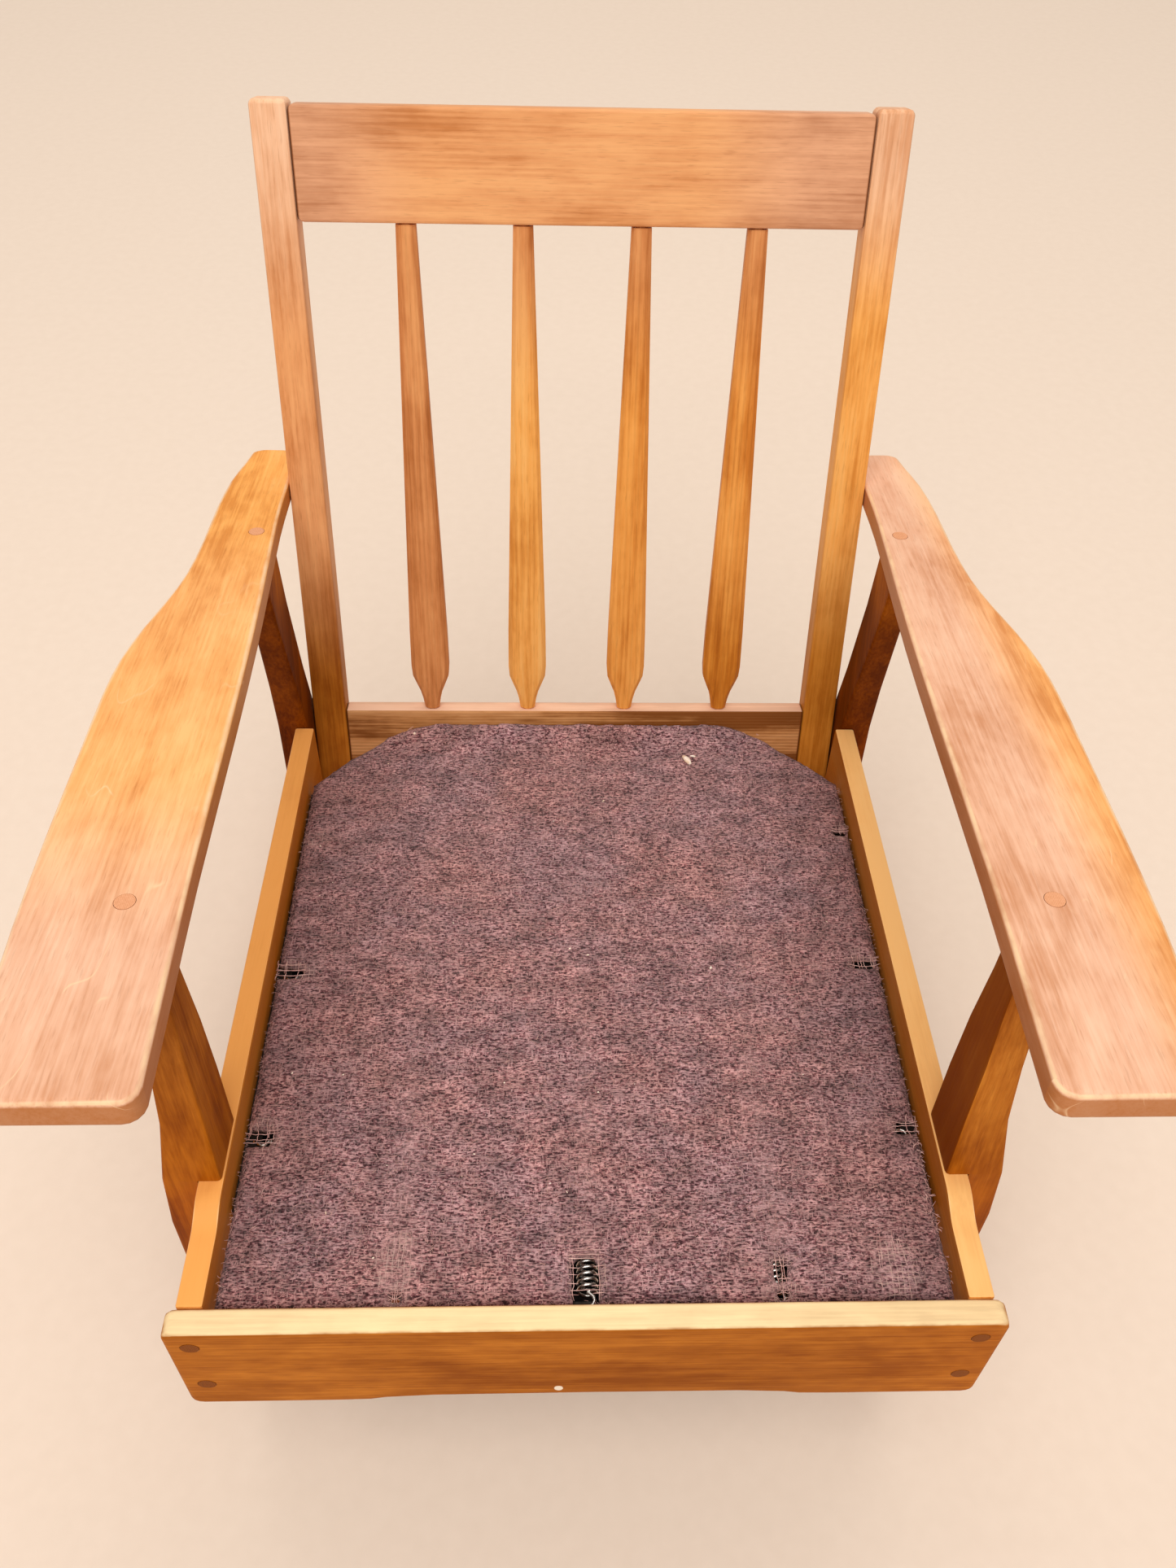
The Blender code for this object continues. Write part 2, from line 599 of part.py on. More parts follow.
def steel_bands(deck, origin):
    """Three bands from front to back, and three across them just underneath."""
    top = SPRING_Z + SPRING_RADIUS - SPRING_WIRE - GAP
    half, lap = STRIP_WIDTH / 2, 0.006
    front, rear = FRONT_HOOK_Y + SPRING_SPAN, REAR_HOOK_Y - SPRING_SPAN
    for number, x in enumerate(BAND_X, 1):
        name = "long_band_%d" % number
        low = Vector((x - half, front - lap, top - STRIP_THICK)) - origin
        high = Vector((x + half, rear + lap, top)) - origin
        band = add_object(name, loft(name, block_rings(low, high)), deck, SPRING_STEEL)
        hook_holes(band, [(x, front - origin.y), (x, rear - origin.y)], top - origin.z, deck)
    reach = SIDE_HOOK_X - SPRING_SPAN
    for number, y in enumerate(BAND_Y, 1):
        name = "cross_band_%d" % number
        low = Vector((-reach - lap, y - half, top - SIDE_DROP - STRIP_THICK)) - origin
        high = Vector((reach + lap, y + half, top - SIDE_DROP)) - origin
        band = add_object(name, loft(name, block_rings(low, high)), deck, SPRING_STEEL)
        hook_holes(band, [(-reach, y - origin.y), (reach, y - origin.y)], top - SIDE_DROP - origin.z, deck)


def anchor_strip(name, wall, inward, top, along, ends, holes, seat):
    """An angle strip on a rail's inner face. Its flange points inwards and holds the springs' hooks."""
    profile = [(wall, top), (wall + inward * STRIP_WIDTH, top),
               (wall + inward * STRIP_WIDTH, top - STRIP_THICK),
               (wall + inward * STRIP_THICK, top - STRIP_THICK),
               (wall + inward * STRIP_THICK, top - STRIP_LEG), (wall, top - STRIP_LEG)]
    strip = add_object(name, loft(name, swept_outline(profile, along, *ends)), seat, SPRING_STEEL)
    hook_holes(strip, holes, top, seat)


def anchor_strips(seat):
    top = SPRING_Z + SPRING_RADIUS - SPRING_WIRE - GAP
    rear_wall = BACK_Y + (top - STRIP_LEG - BACK_Z) * math.tan(BACK_TILT) - 2 * GAP
    anchor_strip("front_anchor_strip", FRONT_THICK + GAP, 1, top, "X", (-0.2200, 0.2200),
                 [(x, FRONT_HOOK_Y) for x in BAND_X], seat)
    anchor_strip("rear_anchor_strip", rear_wall, -1, top, "X", (-0.1550, 0.1550),
                 [(x, REAR_HOOK_Y) for x in BAND_X], seat)
    for label, side in SIDES.items():
        anchor_strip("side_anchor_strip_" + label, side * (RAIL_INNER_X - GAP), -side, top - SIDE_DROP, "Y",
                     (0.100, 0.530), [(side * SIDE_HOOK_X, y) for y in BAND_Y], seat)


def felt_pad(deck, origin):
    """The felt that covers the bands and springs, with its rear corners cut to clear the uprights."""
    half, rear = PAD_HALF, 0.6055
    right = curve_through([(half, 0.515), (0.2450, 0.548), (0.2150, 0.576), (0.1850, 0.594), (0.1400, rear)], 3)
    left = [(-x, y) for x, y in reversed(right)]
    outline = [(-half, 0.0210), (half, 0.0210)] + right + left
    outline = [(x - origin.x, y - origin.y) for x, y in outline]
    rings = swept_outline(outline, "Z", PAD_BOTTOM_Z - origin.z, PAD_TOP_Z - origin.z)
    pad = add_object("felt_pad", loft("felt_pad", rings), deck, FELT)
    ease_edges(pad, 0.0025)


# ---------------------------------------------------------------- the chair

def side_assembly(label, side, seat, arms, front, posts):
    """One side of the chair: rail, legs, runner, arm and what fastens them."""
    rail = side_rail(label, side, seat)
    fore = front_leg(label, side, seat)
    aft = rear_leg(label, side, seat)
    runner = rocker(label, side)
    foot_joint(fore, runner, side, FRONT_FOOT_Y, seat)
    foot_joint(aft, runner, side, REAR_FOOT_Y, seat)
    low_x, high_x = span(side, 0.2660, 0.2735)
    join_block(rail, aft, (low_x, RAIL_REAR_Y - 0.012, -0.092), (high_x, RAIL_REAR_Y + 0.022, -0.028), seat)
    top = arm(label, side, arms)
    arm_peg("arm_peg_%s_front" % label, side, 0.0, top, fore, arms)
    arm_peg("arm_peg_%s_rear" % label, side, PEG_REAR, top, aft, arms)
    for level, z in zip(("upper", "lower"), PLUG_Z):
        front_fixing(label, side, level, z, front, rail, seat)
    back_screw(label, side, posts[side], aft, seat)
    return fore, aft


def build_chair():
    clear_scene()
    seat = make_empty("seat_frame", None, (0.0, SEAT_Y, SEAT_Z), SEAT_SLOPE)
    back = make_empty("back_frame", seat, (0.0, BACK_Y, BACK_Z), BACK_TILT)
    arms = make_empty("arm_frame", seat, (0.0, ARM_Y, ARM_Z), ARM_TILT)

    lower = back_rail("lower_back_rail", BACK_RAIL_LOW, 0.0, 0.002, back)
    crest = back_rail("crest_rail", CREST_LOW, CREST_TOP, 0.005, back)
    posts = {side: back_upright(label, side, back) for label, side in SIDES.items()}
    for rail, low, high in ((lower, BACK_RAIL_LOW + 0.012, -0.012), (crest, CREST_LOW + 0.012, CREST_TOP - 0.014)):
        for side, post in posts.items():
            low_x, high_x = span(side, UPRIGHT_INNER_X - 0.012, UPRIGHT_INNER_X + 0.016)
            join_block(rail, post, (low_x, 0.006, low), (high_x, 0.015, high), back)
    for number, x in enumerate(SLAT_X, 1):
        slat(number, x, lower, crest, back)

    front = front_rail(seat)
    legs = {side: side_assembly(label, side, seat, arms, front, posts) for label, side in SIDES.items()}
    stretcher("front_stretcher", STRETCHER_FRONT, FRONT_LEG_INNER_X,
              [(side, pair[0]) for side, pair in legs.items()], seat)
    stretcher("rear_stretcher", STRETCHER_REAR, REAR_LEG_INNER_X,
              [(side, pair[1]) for side, pair in legs.items()], seat)

    origin = Vector((0.0, 0.311, PAD_BOTTOM_Z))
    deck = make_empty("deck_frame", seat, origin, 0.0)
    steel_bands(deck, origin)
    felt_pad(deck, origin)
    anchor_strips(seat)
    springs(seat)


build_chair()
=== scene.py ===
"""Looks for the rocking chair: its wood, its worn felt deck, its springs, the light and the camera.

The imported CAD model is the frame. Metres, +Z up, the chair faces -Y. Many places below are given in the
seat frame, whose Y runs back along the side rails and whose Z is square to them, as in the CAD source.
"""
import math
import random

import bmesh
import bpy
from mathutils import Matrix, Vector, geometry, kdtree, noise


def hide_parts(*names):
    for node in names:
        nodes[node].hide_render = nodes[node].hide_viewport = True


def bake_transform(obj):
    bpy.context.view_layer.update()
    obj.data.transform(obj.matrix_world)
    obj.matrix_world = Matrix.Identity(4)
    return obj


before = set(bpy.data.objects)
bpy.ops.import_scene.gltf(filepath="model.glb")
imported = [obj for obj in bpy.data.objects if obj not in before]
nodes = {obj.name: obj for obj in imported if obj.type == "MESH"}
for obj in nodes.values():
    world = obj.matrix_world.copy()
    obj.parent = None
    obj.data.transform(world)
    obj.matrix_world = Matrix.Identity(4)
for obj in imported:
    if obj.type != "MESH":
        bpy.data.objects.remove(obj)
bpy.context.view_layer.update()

# The seat frame, the arms' slope and the back's slope, as in the CAD source
SEAT_SLOPE = math.radians(5.0)
SEAT = Matrix.Translation((0.0, -0.4103, 0.385)) @ Matrix.Rotation(-SEAT_SLOPE, 4, "X")
ARM_SLOPE = SEAT_SLOPE + math.radians(4.01)
BACK_SLOPE = SEAT_SLOPE + math.radians(11.57)


# ---------------------------------------------------------------- node helpers

# A wave texture of scale 1 repeats every 0.314 m
WAVE_PERIOD = 0.314


class Shader:
    """A material's node tree, with short calls for the nodes used here."""

    def __init__(self, name, roughness=0.5, **sockets):
        self.material = bpy.data.materials.new(name)
        self.material.use_nodes = True
        self.tree = self.material.node_tree
        self.surface = self.tree.nodes["Principled BSDF"]
        self.surface.inputs["Roughness"].default_value = roughness
        for socket, value in sockets.items():
            self.surface.inputs[socket.replace("_", " ")].default_value = value
        self.place = self.add("ShaderNodeTexCoord").outputs["Object"]

    def add(self, kind, settings=None, **inputs):
        node = self.tree.nodes.new(kind)
        for key, value in (settings or {}).items():
            setattr(node, key, value)
        for key, value in inputs.items():
            self.plug(node.inputs[key.replace("_", " ")], value)
        return node

    def plug(self, socket, value):
        if isinstance(value, bpy.types.NodeSocket):
            self.tree.links.new(value, socket)
        else:
            socket.default_value = value

    def math(self, operation, a, b=0.0, clamp=False):
        node = self.tree.nodes.new("ShaderNodeMath")
        node.operation, node.use_clamp = operation, clamp
        self.plug(node.inputs[0], a)
        self.plug(node.inputs[1], b)
        return node.outputs[0]

    def plus(self, a, b):
        return self.math("ADD", a, b)

    def minus(self, a, b):
        return self.math("SUBTRACT", a, b)

    def times(self, a, b):
        return self.math("MULTIPLY", a, b)

    def most(self, values):
        """The greatest of several values at each point."""
        greatest = values[0]
        for value in values[1:]:
            greatest = self.math("MAXIMUM", greatest, value)
        return greatest

    def vector(self, operation, a, b=None):
        node = self.add("ShaderNodeVectorMath", {"operation": operation})
        self.plug(node.inputs[0], a)
        if b is not None:
            self.plug(node.inputs[1], b)
        return node.outputs["Value" if operation == "LENGTH" else "Vector"]

    def distance(self, place, centre, reach):
        """How far a place is from the centre, counted in the reach along each axis."""
        gap = self.vector("SUBTRACT", place, centre)
        return self.vector("LENGTH", self.vector("MULTIPLY", gap, [1 / r for r in reach]))

    def span(self, value, start, end, low=0.0, high=1.0, smooth=False):
        """Runs from low to high as the value goes from start to end."""
        return self.add("ShaderNodeMapRange", {"interpolation_type": "SMOOTHSTEP" if smooth else "LINEAR"},
                        Value=value, From_Min=start, From_Max=end, To_Min=low, To_Max=high).outputs[0]

    def stretched(self, tilt, scale, shift):
        """The position turned upright by tilt about X, then scaled and moved."""
        turned = self.add("ShaderNodeVectorRotate", {"rotation_type": "X_AXIS"},
                          Vector=self.place, Angle=tilt).outputs[0]
        return self.add("ShaderNodeMapping", Vector=turned, Location=shift, Scale=scale).outputs[0]

    def noise(self, vector, scale, detail=2.0, roughness=0.5, distortion=0.0):
        return self.add("ShaderNodeTexNoise", Vector=vector, Scale=scale, Detail=detail,
                        Roughness=roughness, Distortion=distortion).outputs["Fac"]

    def ramp(self, factor, *stops, smooth=False):
        """A colour ramp. A stop's value is a grey level or a colour."""
        node = self.add("ShaderNodeValToRGB", Fac=factor)
        ramp = node.color_ramp
        ramp.interpolation = "EASE" if smooth else "LINEAR"
        while len(ramp.elements) < len(stops):
            ramp.elements.new(0.5)
        for element, (position, value) in zip(ramp.elements, stops):
            element.position = position
            element.color = (value, value, value, 1) if isinstance(value, float) else (*value, 1)
        return node.outputs["Color"]

    def mix(self, factor, a, b, blend="MIX"):
        node = self.tree.nodes.new("ShaderNodeMix")
        node.data_type, node.blend_type = "RGBA", blend
        self.plug(node.inputs[0], factor)
        for socket, value in ((node.inputs[6], a), (node.inputs[7], b)):
            self.plug(socket, (*value, 1) if isinstance(value, tuple) else value)
        return node.outputs[2]

    def bump(self, height, distance, strength=1.0):
        node = self.add("ShaderNodeBump", Height=height, Distance=distance, Strength=strength)
        self.plug(self.surface.inputs["Normal"], node.outputs[0])

    def finish(self, colour, roughness=None):
        self.plug(self.surface.inputs["Base Color"], colour)
        if roughness is not None:
            self.plug(self.surface.inputs["Roughness"], roughness)
        return self.material


# ---------------------------------------------------------------- wood

# Stains, each as its light, middle and dark tone. The blush stands for painted light at the uprights' tops;
# the umber, deep and shade palettes stand for painted shade on the uprights' feet, the legs, the stretchers
# and the inner faces.
ROSE = ((0.88, 0.55, 0.375), (0.80, 0.445, 0.285), (0.64, 0.295, 0.155))
LIT_BLUSH = ((0.97, 0.63, 0.420), (0.92, 0.550, 0.340), (0.76, 0.380, 0.200))
CLAY = ((0.84, 0.44, 0.250), (0.70, 0.345, 0.190), (0.54, 0.235, 0.115))
PALE = ((0.97, 0.52, 0.200), (0.89, 0.415, 0.135), (0.70, 0.270, 0.070))
BUFF = ((0.90, 0.45, 0.190), (0.80, 0.360, 0.145), (0.62, 0.235, 0.075))
HONEY = ((0.96, 0.43, 0.105), (0.86, 0.345, 0.070), (0.66, 0.215, 0.032))
GOLD = ((0.99, 0.52, 0.160), (0.94, 0.430, 0.105), (0.74, 0.280, 0.050))
RUSSET = ((0.80, 0.36, 0.135), (0.68, 0.265, 0.090), (0.50, 0.165, 0.045))
TAWNY = ((0.74, 0.280, 0.040), (0.58, 0.185, 0.020), (0.38, 0.100, 0.008))
AMBER = ((0.60, 0.205, 0.026), (0.43, 0.130, 0.014), (0.28, 0.070, 0.005))
BROWN = ((0.72, 0.360, 0.150), (0.57, 0.255, 0.092), (0.25, 0.085, 0.022))
DEEP_SHADE = ((0.50, 0.145, 0.008), (0.35, 0.086, 0.003), (0.20, 0.038, 0.001))
SHADE = ((0.28, 0.064, 0.002), (0.17, 0.033, 0.001), (0.09, 0.015, 0.001))
UMBER_SHADE = ((0.66, 0.250, 0.032), (0.52, 0.170, 0.016), (0.34, 0.090, 0.007))
SEAM = ((0.20, 0.060, 0.015),) * 3

# Single tints: painted highlights on upper faces and on corners, where they are partly wear too, the year
# rings, the pores, scratches and chipped wood
CREAM_HIGHLIGHT = (0.97, 0.76, 0.43)
EDGE_HIGHLIGHT_AND_WEAR = (0.96, 0.68, 0.41)
RING_TINT = (0.20, 0.050, 0.006)
PORE_TINT = (0.24, 0.065, 0.010)
SCRATCH_TINT = (0.98, 0.70, 0.42)
BARE_WOOD = (0.92, 0.80, 0.66)


def grain_space(s, grain, tilt, seed):
    """A function that gives the position with the given frequencies along the grain and across it."""
    along = "XYZ".index(grain)
    offset = [seed * 0.37 + 0.11, seed * 0.23 - 0.4, seed * 0.31 + 0.07]

    def scaled(lengthways, crossways):
        scale = [crossways] * 3
        scale[along] = lengthways
        return s.stretched(tilt, scale, offset)

    return scaled


def year_rings(s, scaled, grain, spacing, clouds):
    """Thin lines where the cut crosses the year rings, faint where the clouds are light."""
    rings = s.add("ShaderNodeTexWave",
                  {"wave_type": "RINGS", "rings_direction": grain, "wave_profile": "SIN"},
                  Vector=scaled(0.10, 1.0), Scale=WAVE_PERIOD / spacing, Distortion=9.0, Detail=2.0,
                  Detail_Scale=0.16, Detail_Roughness=0.55).outputs["Fac"]
    return s.times(s.ramp(rings, (0.0, 1.0), (0.40, 0.25), (1.0, 0.0)),
                   s.ramp(clouds, (0.35, 1.0), (0.60, 0.25)))


def scratches(s, scaled, y):
    """Short stretches of a wandering hairline, more of them towards the front."""
    wander = s.math("ABSOLUTE", s.minus(s.noise(scaled(9.0, 34.0), 1.0, 1.0), 0.5))
    hairline = s.ramp(wander, (0.0, 1.0), (0.007, 0.0))
    stretches = s.ramp(s.noise(scaled(24.0, 30.0), 1.0, 2.0), (0.56, 0.0), (0.64, 0.55))
    return s.times(s.times(hairline, stretches), s.span(y, 0.05, -0.22, 0.25, 1.0))


def wood(name, grain, tilt, seed, tones, stages=(), mottle=0.75, streak=0.40, figure=0.14, ring=0.0045,
         roughness=0.42, coat=0.03, shine=0.12, crown=None, edge=None, sides=None, inner=None,
         scratched=False, chip=None):
    """Stained maple under satin varnish.

    grain is the axis that the fibres follow, after the tilt about X. tones are a light, a middle and a dark
    colour, and each stage brings in other tones from one place along an axis to the next. mottle, streak and
    figure set how strong the clouds, the streaks and the year rings are, and ring is the rings' spacing.
    coat and shine are the varnish's weight and specular level. crown paints a highlight on the faces that
    look up, edge paints one with some wear on the eased corners, and sides paints shade on the faces that
    do not look up. inner is a side of the X axis and the painted shade of the faces that look that way.
    scratched adds fine pale scratches. chip is the middle and reach of a bare spot.
    """
    s = Shader(name, roughness, Coat_Weight=coat, Coat_Roughness=0.30, Specular_IOR_Level=shine)
    scaled = grain_space(s, grain, tilt, seed)
    clouds = s.noise(scaled(5.0, 13.0), 1.0, 4.0, 0.6, 0.4)
    mottles = s.noise(scaled(38.0, 85.0), 1.0, 3.0, 0.6)
    streaks = s.noise(scaled(2.6, 62.0), 1.0, 4.0, 0.6)
    fibres = s.noise(scaled(14.0, 430.0), 1.0, 3.0, 0.6)
    pores = s.ramp(s.noise(scaled(70.0, 950.0), 1.0, 1.0), (0.60, 0.0), (0.72, 1.0))
    tone = 0.5
    for layer, weight in ((clouds, mottle), (mottles, 0.24), (streaks, streak), (fibres, 0.42)):
        tone = s.plus(tone, s.times(s.minus(layer, 0.5), weight))

    def stained(palette):
        light, middle, dark = palette
        return s.ramp(tone, (0.33, dark), (0.50, middle), (0.67, light))

    colour = stained(tones)
    place = s.add("ShaderNodeSeparateXYZ", Vector=s.place).outputs
    for axis, start, end, palette in stages:
        colour = s.mix(s.span(place[axis], start, end, smooth=True), colour, stained(palette))
    lines = year_rings(s, scaled, grain, ring, clouds)
    colour = s.mix(s.times(lines, figure), colour, RING_TINT)
    colour = s.mix(s.times(pores, 0.16), colour, PORE_TINT)

    normal = s.add("ShaderNodeNewGeometry").outputs["Normal"]
    facing = s.add("ShaderNodeSeparateXYZ", Vector=normal).outputs
    # Painted light by which way a face looks: a highlight on upper faces and on corners, shade on the faces
    # that do not look up and on those that look to one side
    if crown:
        lit_upper = s.ramp(facing["Z"], (0.62, 0.0), (0.93, 1.0))
        colour = s.mix(s.times(lit_upper, s.ramp(tone, (0.34, 0.75), (0.60, 1.0))), colour, crown)
    if edge:
        highlight_rim = s.ramp(facing["Z"], (0.42, 0.0), (0.62, 1.0), (0.86, 1.0), (0.96, 0.0))
        colour = s.mix(s.times(highlight_rim, s.ramp(mottles, (0.36, 0.30), (0.60, 0.85))), colour, edge)
    if sides:
        colour = s.mix(s.ramp(facing["Z"], (0.20, 0.75), (0.45, 0.0)), colour, sides)
    if inner:
        side, tint = inner
        colour = s.mix(s.ramp(s.times(facing["X"], side), (0.35, 0.0), (0.75, 0.75)), colour, tint)
    if scratched:
        colour = s.mix(scratches(s, scaled, place["Y"]), colour, SCRATCH_TINT)
    if chip:
        far = s.distance(s.place, *chip)
        ragged = s.plus(far, s.times(s.minus(mottles, 0.5), 0.8))
        colour = s.mix(s.ramp(ragged, (0.85, 1.0), (1.0, 0.0)), colour, BARE_WOOD)

    s.bump(s.plus(s.times(fibres, 0.5), s.times(mottles, 0.9)), 0.00025, 0.45)
    return s.finish(colour, s.plus(s.times(mottles, 0.22), roughness - 0.11))


def end_grain(name, seed, light, dark):
    """The cross-cut end of a dowel."""
    s = Shader(name, 0.5, Specular_IOR_Level=0.06)
    grain = s.noise(s.stretched(0.0, (1, 1, 1), (seed, 0, 0)), 700.0, 3.0, 0.7)
    bands = s.add("ShaderNodeTexWave", {"wave_type": "BANDS", "bands_direction": "X"}, Vector=s.place,
                  Scale=300.0, Distortion=2.0).outputs["Fac"]
    tone = s.plus(s.times(grain, 0.7), s.times(bands, 0.3))
    return s.finish(s.ramp(tone, (0.25, dark), (0.75, light)))


def give(names, material):
    for name in names:
        obj = nodes[name]
        obj.data.materials.clear()
        obj.data.materials.append(material)


def named(*starts):
    return [n for n in sorted(nodes) if n.startswith(starts)]


def dress_back():
    # Both rails darken into a seam where they meet the uprights
    seams = [("X", side * 0.2278, side * 0.2293, SEAM) for side in (1, -1)]
    give(["crest_rail"],
         wood("crest", "X", BACK_SLOPE, 1, BUFF,
              [("X", -0.110, -0.225, CLAY), ("X", 0.080, 0.190, CLAY)] + seams,
              mottle=0.85, streak=0.36, figure=0.12))
    # The lower rail's pale crown is a painted highlight on its top face
    give(["lower_back_rail"],
         wood("lower_rail", "X", BACK_SLOPE, 2, BROWN, seams, figure=0.7, ring=0.0035, streak=1.3,
              shine=0.03, crown=(0.88, 0.55, 0.38)))
    # The uprights' feet are painted shade and their tops painted light, in the umber and blush stages
    give(["back_upright_left"],
         wood("upright_a", "Z", BACK_SLOPE, 5, BUFF, [("Z", 0.51, 0.35, UMBER_SHADE), ("Z", 0.66, 0.82, LIT_BLUSH)],
              mottle=0.65, streak=0.50, figure=0.10, shine=0.05))
    give(["back_upright_right"],
         wood("upright_b", "Z", BACK_SLOPE, 6, GOLD, [("Z", 0.53, 0.38, UMBER_SHADE), ("Z", 0.68, 0.82, LIT_BLUSH)],
              mottle=0.65, streak=0.50, figure=0.10, shine=0.05))
    # Each slat's foot stage keeps its own tone except the fourth, whose darker foot is painted shade near the
    # seat
    slats = ((RUSSET, RUSSET), (GOLD, GOLD), (HONEY, HONEY), (HONEY, TAWNY))
    for number, (tones, foot) in enumerate(slats, 1):
        give(["back_slat_%d" % number],
             wood("slat_%d" % number, "Z", BACK_SLOPE, 6 + number, tones,
                  [("Z", 0.60, 0.76, RUSSET), ("Z", 0.52, 0.38, foot)],
                  mottle=0.65, streak=0.75, figure=0.22, shine=0.06))


def dress_seat():
    # The front rail's cream crown and edge are painted highlights on its top face and corners
    give(["front_rail"],
         wood("front", "X", SEAT_SLOPE, 3, AMBER, [("X", 0.14, 0.32, TAWNY), ("X", -0.22, -0.46, TAWNY)],
              figure=0.10, mottle=0.70, streak=0.36, shine=0.01, crown=CREAM_HIGHLIGHT, edge=CREAM_HIGHLIGHT,
              chip=((-0.0200, -0.4200, 0.2762), (0.0036, 0.0100, 0.0044))))
    # The side rails' crowns and cream edges are painted highlights, and their inner faces get painted shade
    give(["side_rail_left"],
         wood("side_a", "Y", SEAT_SLOPE, 4, HONEY, mottle=1.1, shine=0.06, crown=(0.93, 0.42, 0.11),
              edge=CREAM_HIGHLIGHT, inner=(1.0, DEEP_SHADE[0])))
    give(["side_rail_right"],
         wood("side_b", "Y", SEAT_SLOPE, 24, GOLD, mottle=1.1, shine=0.06, crown=(0.97, 0.56, 0.21),
              edge=CREAM_HIGHLIGHT, inner=(-1.0, DEEP_SHADE[1])))
    give(named("front_plug"), end_grain("front_plugs", 0.7, (0.30, 0.078, 0.004), (0.15, 0.036, 0.002)))


def dress_arms():
    # On the arms the pale corners are a painted highlight with some wear, the faces that do not look up get
    # painted shade, and the scratches are wear
    worn = dict(mottle=0.95, figure=0.05, streak=0.30, edge=EDGE_HIGHLIGHT_AND_WEAR, sides=AMBER[1], scratched=True,
                roughness=0.38, shine=0.10)
    give(["arm_left"],
         wood("arm_a", "Y", ARM_SLOPE, 12, PALE,
              [("Y", -0.12, -0.30, ROSE), ("Y", 0.06, 0.24, GOLD)], **worn))
    give(["arm_right"],
         wood("arm_b", "Y", ARM_SLOPE, 13, ROSE, [("X", 0.285, 0.340, PALE)], **worn))
    give(named("arm_peg"), end_grain("arm_pegs", 0.3, (0.84, 0.42, 0.235), (0.66, 0.29, 0.140)))


def dress_base():
    # The legs' dark palettes are painted shade, lighter higher up, and the right front leg's inner faces get
    # more painted shade
    give(["front_leg_left"],
         wood("front_leg_a", "Z", SEAT_SLOPE, 14, DEEP_SHADE, [("Z", 0.40, 0.56, AMBER)], coat=0.0, shine=0.03))
    give(["front_leg_right"],
         wood("front_leg_b", "Z", SEAT_SLOPE, 18, DEEP_SHADE, [("Z", 0.36, 0.52, TAWNY)], coat=0.0, shine=0.03,
              inner=(-1.0, DEEP_SHADE[2])))
    give(named("rear_leg"),
         wood("rear_legs", "Z", SEAT_SLOPE + 0.3, 15, SHADE, [("Z", 0.47, 0.53, DEEP_SHADE)], coat=0.0, shine=0.03))
    give(named("rocker_"), wood("rockers", "Y", 0.0, 16, AMBER, shine=0.08))
    # The stretchers' near-black palette is painted shade that keeps the view through the felt's slot dark
    give(["front_stretcher", "rear_stretcher"],
         wood("stretchers", "X", 0.0, 17, SHADE, coat=0.0, shine=0.02))


# ---------------------------------------------------------------- steel

def steel(name, colour, roughness, rust):
    s = Shader(name, roughness, Metallic=1.0)
    spots = s.noise(s.place, 160.0, 5.0, 0.7)
    shade = s.ramp(spots, (0.35, colour), (0.75, rust))
    s.bump(spots, 0.0002, 0.3)
    return s.finish(shade, s.plus(s.times(spots, 0.35), roughness - 0.1))


def dress_steel():
    give(named("long_band", "cross_band"),
         steel("band_steel", (0.30, 0.29, 0.28), 0.45, (0.12, 0.085, 0.065)))
    # The anchor strips' near-black is painted shade that keeps the holes in the felt dark
    give(named("front_anchor", "rear_anchor", "side_anchor"),
         steel("anchor_steel", (0.060, 0.055, 0.052), 0.65, (0.035, 0.024, 0.018)))
    give(named("front_screw", "back_screw"), steel("zinc", (0.62, 0.61, 0.57), 0.35, (0.38, 0.34, 0.26)))


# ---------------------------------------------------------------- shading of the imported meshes

def smooth_by_angle(angle):
    """A node group that shades a mesh smooth, but for the edges sharper than the angle."""
    group = bpy.data.node_groups.new("smooth_by_angle", "GeometryNodeTree")
    group.interface.new_socket("Geometry", in_out="INPUT", socket_type="NodeSocketGeometry")
    group.interface.new_socket("Geometry", in_out="OUTPUT", socket_type="NodeSocketGeometry")
    enter, leave = group.nodes.new("NodeGroupInput"), group.nodes.new("NodeGroupOutput")
    faces, edges = (group.nodes.new("GeometryNodeSetShadeSmooth") for _ in range(2))
    faces.domain, edges.domain = "FACE", "EDGE"
    bend, small = group.nodes.new("GeometryNodeInputMeshEdgeAngle"), group.nodes.new("FunctionNodeCompare")
    small.operation = "LESS_EQUAL"
    small.inputs[1].default_value = angle
    for a, b in ((enter.outputs[0], faces.inputs["Geometry"]), (faces.outputs[0], edges.inputs["Geometry"]),
                 (bend.outputs["Unsigned Angle"], small.inputs[0]),
                 (small.outputs[0], edges.inputs["Shade Smooth"]), (edges.outputs[0], leave.inputs[0])):
        group.links.new(a, b)
    return group


def soften(obj, group):
    """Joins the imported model's split vertices, and shades its eased edges round and its broad faces flat."""
    normals = obj.data.attributes.get("custom_normal")
    if normals:
        obj.data.attributes.remove(normals)
    weld = obj.modifiers.new("Weld", "WELD")
    weld.merge_threshold = 0.00002
    shade = obj.modifiers.new("Shade", "NODES")
    shade.node_group = group
    weighted = obj.modifiers.new("Normals", "WEIGHTED_NORMAL")
    weighted.keep_sharp = True
    weighted.weight = 100


def soften_kept_nodes():
    group = smooth_by_angle(math.radians(38))
    for name, obj in nodes.items():
        if not name.startswith("spring_") and name != "felt_pad":
            soften(obj, group)


# ---------------------------------------------------------------- meshes

def link(name, mesh):
    obj = bpy.data.objects.new(name, mesh)
    bpy.context.scene.collection.objects.link(obj)
    return obj


